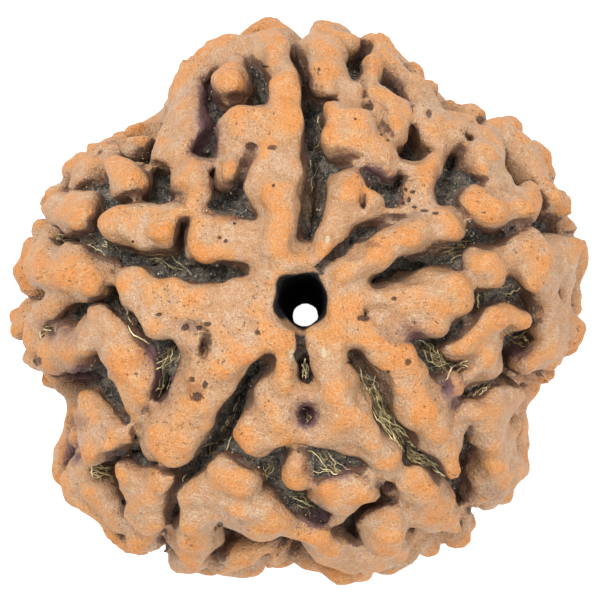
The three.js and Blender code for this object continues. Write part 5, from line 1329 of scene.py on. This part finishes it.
# Dry fibres in the gaps, as [x, y, x, y, number, spread, lift] in the plan
FIBRES = [
    [2.1, -2.9, 2.9, -3.9, 46, 0.13, 0.4], [2.7, -3.5, 3.4, -4.8, 56, 0.12, 0.45],
    [3.2, -4.5, 4.1, -5.8, 50, 0.1, 0.45], [3.9, -5.5, 4.8, -6.35, 34, 0.08, 0.4],
    [4.6, -6.2, 5.8, -6.9, 18, 0.06, 0.3],
    [4.9, -1.9, 5.5, -2.4, 18, 0.12, 0.4], [5.3, -2.4, 6.0, -2.7, 12, 0.1, 0.4],
    [5.9, -2.9, 6.9, -2.4, 10, 0.07, 0.5], [7.9, -1.1, 8.9, -1.6, 16, 0.12, 0.4],
    [6.9, -3.75, 7.7, -3.4, 9, 0.1, 0.35], [8.2, -3.1, 8.8, -3.2, 6, 0.1, 0.35],
    [-1.15, -6.5, -1.45, -7.1, 10, 0.05, 0.5], [0.0, -7.9, 0.5, -8.2, 10, 0.14, 0.4],
    [0.5, -6.1, 1.7, -6.8, 14, 0.2, 0.4], [0.05, -1.9, 0.25, -3.0, 12, 0.06, 0.2],
    [0.1, -4.4, 0.3, -4.9, 3, 0.1, 0.3], [-3.95, -1.7, -3.8, -2.3, 10, 0.08, 0.25],
    [-5.0, -1.9, -5.6, -2.9, 14, 0.16, 0.4], [-6.9, -0.9, -6.2, -1.5, 10, 0.14, 0.4],
    [-5.3, -3.2, -5.7, -4.2, 5, 0.12, 0.35], [-10.6, 0.25, -10.0, 0.15, 9, 0.1, 0.35],
    [-10.5, -1.2, -9.9, -1.3, 12, 0.1, 0.35], [-8.4, 2.2, -7.6, 1.8, 9, 0.16, 0.35],
    [-10.2, 2.7, -8.8, 2.3, 18, 0.1, 0.4], [-8.8, -6.4, -8.1, -6.7, 12, 0.12, 0.4],
    [-8.4, -6.9, -7.5, -6.8, 8, 0.06, 0.35], [-4.6, -7.1, -4.7, -7.9, 5, 0.06, 0.3],
    [-3.0, -5.2, -3.6, -6.4, 10, 0.24, 0.25], [0.5, 4.4, 0.7, 7.2, 10, 0.16, 0.3],
    [5.9, 1.9, 6.8, 2.1, 10, 0.2, 0.35], [-5.9, 1.6, -4.6, 1.3, 6, 0.22, 0.25],
    [8.0, 0.3, 8.7, 0.6, 6, 0.12, 0.3], [7.3, 0.4, 7.1, -0.2, 6, 0.1, 0.3],
    [-7.2, 0.2, -6.7, -0.9, 6, 0.14, 0.3], [-2.6, -4.2, -3.0, -5.2, 6, 0.2, 0.2],
]
# The strands of each row: lengths in mm, turns, and shares of what is given above
LOW_GROUND = 0.8
STRAND_POINTS = 8
STRAND_SIDES = 4
STRAND_TURN = 0.3
STRAND_BEND = 0.22
STRAND_WANDER = 0.045
STRAND_LONGEST = 1.7
STRAND_PAST = 0.4
SHORTEST_STRAND = 0.3
LOWEST_LIFT = 0.1
LOWEST_ARCH = 0.6
STRAND_ENDS = 0.25
STRAND_CLEAR = 0.02
STRAND_CLIMB = 0.5
STRAND_STEEPEST = 0.9
STRAND_GROUND = 30
FEWEST_POINTS = 4
STRAND_THINNEST = 0.013
STRAND_THICKENING = 0.022
THIN_END = 0.45


def share_of(least):
    """A share between least and 1, drawn at random."""
    return least + (1 - least) * chance.random()


def strand_paths():
    """Centre lines of the strands, each a bent line that stays just over the ground."""
    paths = []
    part = np.linspace(-0.5, 0.5, STRAND_POINTS)
    for ax, ay, bx, by, number, width, lift in FIBRES:
        a = np.array([ax, ay])
        along = np.array([bx, by]) - a
        length = np.linalg.norm(along)
        along = along / length
        across = np.array([-along[1], along[0]])
        for _ in range(number):
            start = a + along * length * chance.random() + across * width * chance.normal()
            turn = chance.normal() * STRAND_TURN
            heading = along * math.cos(turn) + across * math.sin(turn)
            reach = min(STRAND_LONGEST, STRAND_PAST + length) * share_of(SHORTEST_STRAND)
            bend = chance.normal() * STRAND_BEND
            side = np.array([-heading[1], heading[0]])
            wander = np.cumsum(chance.normal(size=STRAND_POINTS)) * STRAND_WANDER
            sideways = bend * (part * part - 0.25) * reach + wander
            plan = start + part[:, None] * reach * heading + sideways[:, None] * side
            height = lift * share_of(LOWEST_LIFT)
            arch = STRAND_ENDS + np.sin(math.pi * (part + 0.5))
            paths.append((plan, height * arch * share_of(LOWEST_ARCH)))
    return paths


def tube(line, thick, base):
    """Points and faces of a tapering tube round a line."""
    points, faces = [], []
    for i, at in enumerate(line):
        ahead = line[min(i + 1, len(line) - 1)] - line[max(i - 1, 0)]
        ahead = ahead / np.linalg.norm(ahead)
        side = np.cross(ahead, [0, 0, 1])
        side = side / max(np.linalg.norm(side), 1e-6)
        up = np.cross(side, ahead)
        swell = math.sin(math.pi * (i + 0.5) / len(line))
        taper = thick * (THIN_END + (1 - THIN_END) * swell)
        for j in range(STRAND_SIDES):
            turn = 2 * math.pi * j / STRAND_SIDES
            points.append(at + taper * (math.cos(turn) * side + math.sin(turn) * up))
        if i:
            for j in range(STRAND_SIDES):
                after = (j + 1) % STRAND_SIDES
                a, b = base + (i - 1) * STRAND_SIDES, base + i * STRAND_SIDES
                faces.append([a + j, a + after, b + after, b + j])
    faces.append([base + j for j in reversed(range(STRAND_SIDES))])
    faces.append([base + len(points) - STRAND_SIDES + j for j in range(STRAND_SIDES)])
    return points, faces


def strand_mesh():
    paths = strand_paths()
    places = np.concatenate([plan for plan, _ in paths])
    ground_at = top_height(places)
    _, depth_at = field(np.column_stack([places, ground_at]))
    points, faces, tone = [], [], []
    for k, (plan, rise) in enumerate(paths):
        own = slice(k * STRAND_POINTS, (k + 1) * STRAND_POINTS)
        here = ground_at[own]
        low = np.percentile(here, STRAND_GROUND)
        heights = np.minimum(here, low + STRAND_CLIMB) + STRAND_CLEAR + rise
        keep = (here < low + STRAND_STEEPEST) & (depth_at[own] > LOW_GROUND)
        if keep.sum() < FEWEST_POINTS:
            continue
        first = int(np.argmax(keep))
        last = len(keep) - int(np.argmax(keep[::-1]))
        line = np.column_stack([plan, heights])[first:last]
        thick = STRAND_THINNEST + STRAND_THICKENING * chance.random()
        shade = chance.random()
        more_points, more_faces = tube(line, thick, len(points))
        points += more_points
        faces += more_faces
        tone += [shade] * len(more_points)
    return mesh_object("fibres", points, faces, {"tone": tone})


fibres = strand_mesh()
fibres.data.materials.append(straw_material())
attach(fibres, "root")


# Crumbs of dried flesh on the groove floors: one jittered octahedron each
CRUMBS = 7000
CRUMB_SIZE = 0.018
CRUMB_GROWTH = 0.05
CRUMB_SCATTER = 0.05
CRUMB_LIFT = 0.01
FACING_UP = 0.2
STEEP_SHARE = 0.25
OCTAHEDRON = np.array([[1, 0, 0], [-1, 0, 0], [0, 1, 0], [0, -1, 0], [0, 0, 1], [0, 0, -1]])
OCTAHEDRON_FACES = np.array([[0, 2, 4], [2, 1, 4], [1, 3, 4], [3, 0, 4],
                             [2, 0, 5], [1, 2, 5], [3, 1, 5], [0, 3, 5]])


def crumb_mesh():
    weight = ground * np.where(normals[:, 2] > FACING_UP, 1, STEEP_SHARE)
    chosen = chance.choice(len(vertices), CRUMBS, p=weight / weight.sum())
    size = CRUMB_SIZE + CRUMB_GROWTH * chance.random(CRUMBS) ** 2
    turn = np.linalg.qr(chance.normal(size=(CRUMBS, 3, 3)))[0]
    turn *= np.sign(np.linalg.det(turn))[:, None, None]
    scaled = OCTAHEDRON[None] * (0.6 + 0.8 * chance.random((CRUMBS, 6, 1))) * size[:, None, None]
    shaped = np.einsum("nij,nkj->nki", turn, scaled)
    middle = vertices[chosen] + chance.normal(size=(CRUMBS, 3)) * CRUMB_SCATTER
    middle += normals[chosen] * CRUMB_LIFT
    points = (middle[:, None] + shaped).reshape(-1, 3)
    points[:, 2] = np.maximum(points[:, 2], CRUMB_LIFT)
    faces = (OCTAHEDRON_FACES[None] + 6 * np.arange(CRUMBS)[:, None, None]).reshape(-1, 3)
    tone = np.repeat(chance.random(CRUMBS), 6)
    return mesh_object("crumbs", points, faces, {"tone": tone})


crumbs = crumb_mesh()
crumbs.data.materials.append(crumb_material())
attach(crumbs, "root")


# Floor, camera and light
FLOOR_HALF = 600.0
CAMERA_AWAY = 900.0
SIGHT_PLANE = 12.0
VIEW_WIDTH = 24.0
SENSOR_WIDTH = 36.0
CLIP_NEAR = 0.01
CLIP_FAR = 20.0
LIT_PLACE = [0, 0, 10.0]
KEY_PLACE = [-180.0, 220.0, 480.0]
KEY_SIZE = 340.0
KEY_POWER = 2.9
FILL_PLACE = [260.0, -160.0, 420.0]
FILL_SIZE = 420.0
FILL_POWER = 1.4
WORLD_STRENGTH = 0.96

floor = mesh_object("floor", [
    [-FLOOR_HALF, -FLOOR_HALF, 0], [FLOOR_HALF, -FLOOR_HALF, 0],
    [FLOOR_HALF, FLOOR_HALF, 0], [-FLOOR_HALF, FLOOR_HALF, 0],
], [[0, 1, 2, 3]], {})
floor.data.materials.append(floor_material())

camera_data = bpy.data.cameras.new("camera")
camera_data.sensor_width = SENSOR_WIDTH
camera_data.lens = SENSOR_WIDTH * CAMERA_AWAY / VIEW_WIDTH
camera_data.clip_start = CLIP_NEAR
camera_data.clip_end = CLIP_FAR
camera = bpy.data.objects.new("camera", camera_data)
camera.location = (0, 0, (SIGHT_PLANE + CAMERA_AWAY) * MM)
bpy.context.scene.collection.objects.link(camera)
bpy.context.scene.camera = camera


def softbox(name, place, size, power):
    """A round light that faces the seed."""
    light = bpy.data.lights.new(name, "AREA")
    light.shape = "DISK"
    light.size = size * MM
    light.energy = power
    obj = bpy.data.objects.new(name, light)
    obj.location = [v * MM for v in place]
    away = np.subtract(LIT_PLACE, place)
    flat = math.hypot(away[0], away[1])
    obj.rotation_euler = (math.atan2(flat, -away[2]), 0, math.atan2(-away[0], away[1]))
    obj.visible_camera = False
    bpy.context.scene.collection.objects.link(obj)


softbox("key", KEY_PLACE, KEY_SIZE, KEY_POWER)
softbox("fill", FILL_PLACE, FILL_SIZE, FILL_POWER)

world = bpy.data.worlds.new("studio")
world.use_nodes = True
background = world.node_tree.nodes["Background"]
background.inputs["Color"].default_value = (1.0, 1.0, 1.0, 1.0)
background.inputs["Strength"].default_value = WORLD_STRENGTH
bpy.context.scene.world = world
bpy.context.scene.view_settings.view_transform = "Standard"
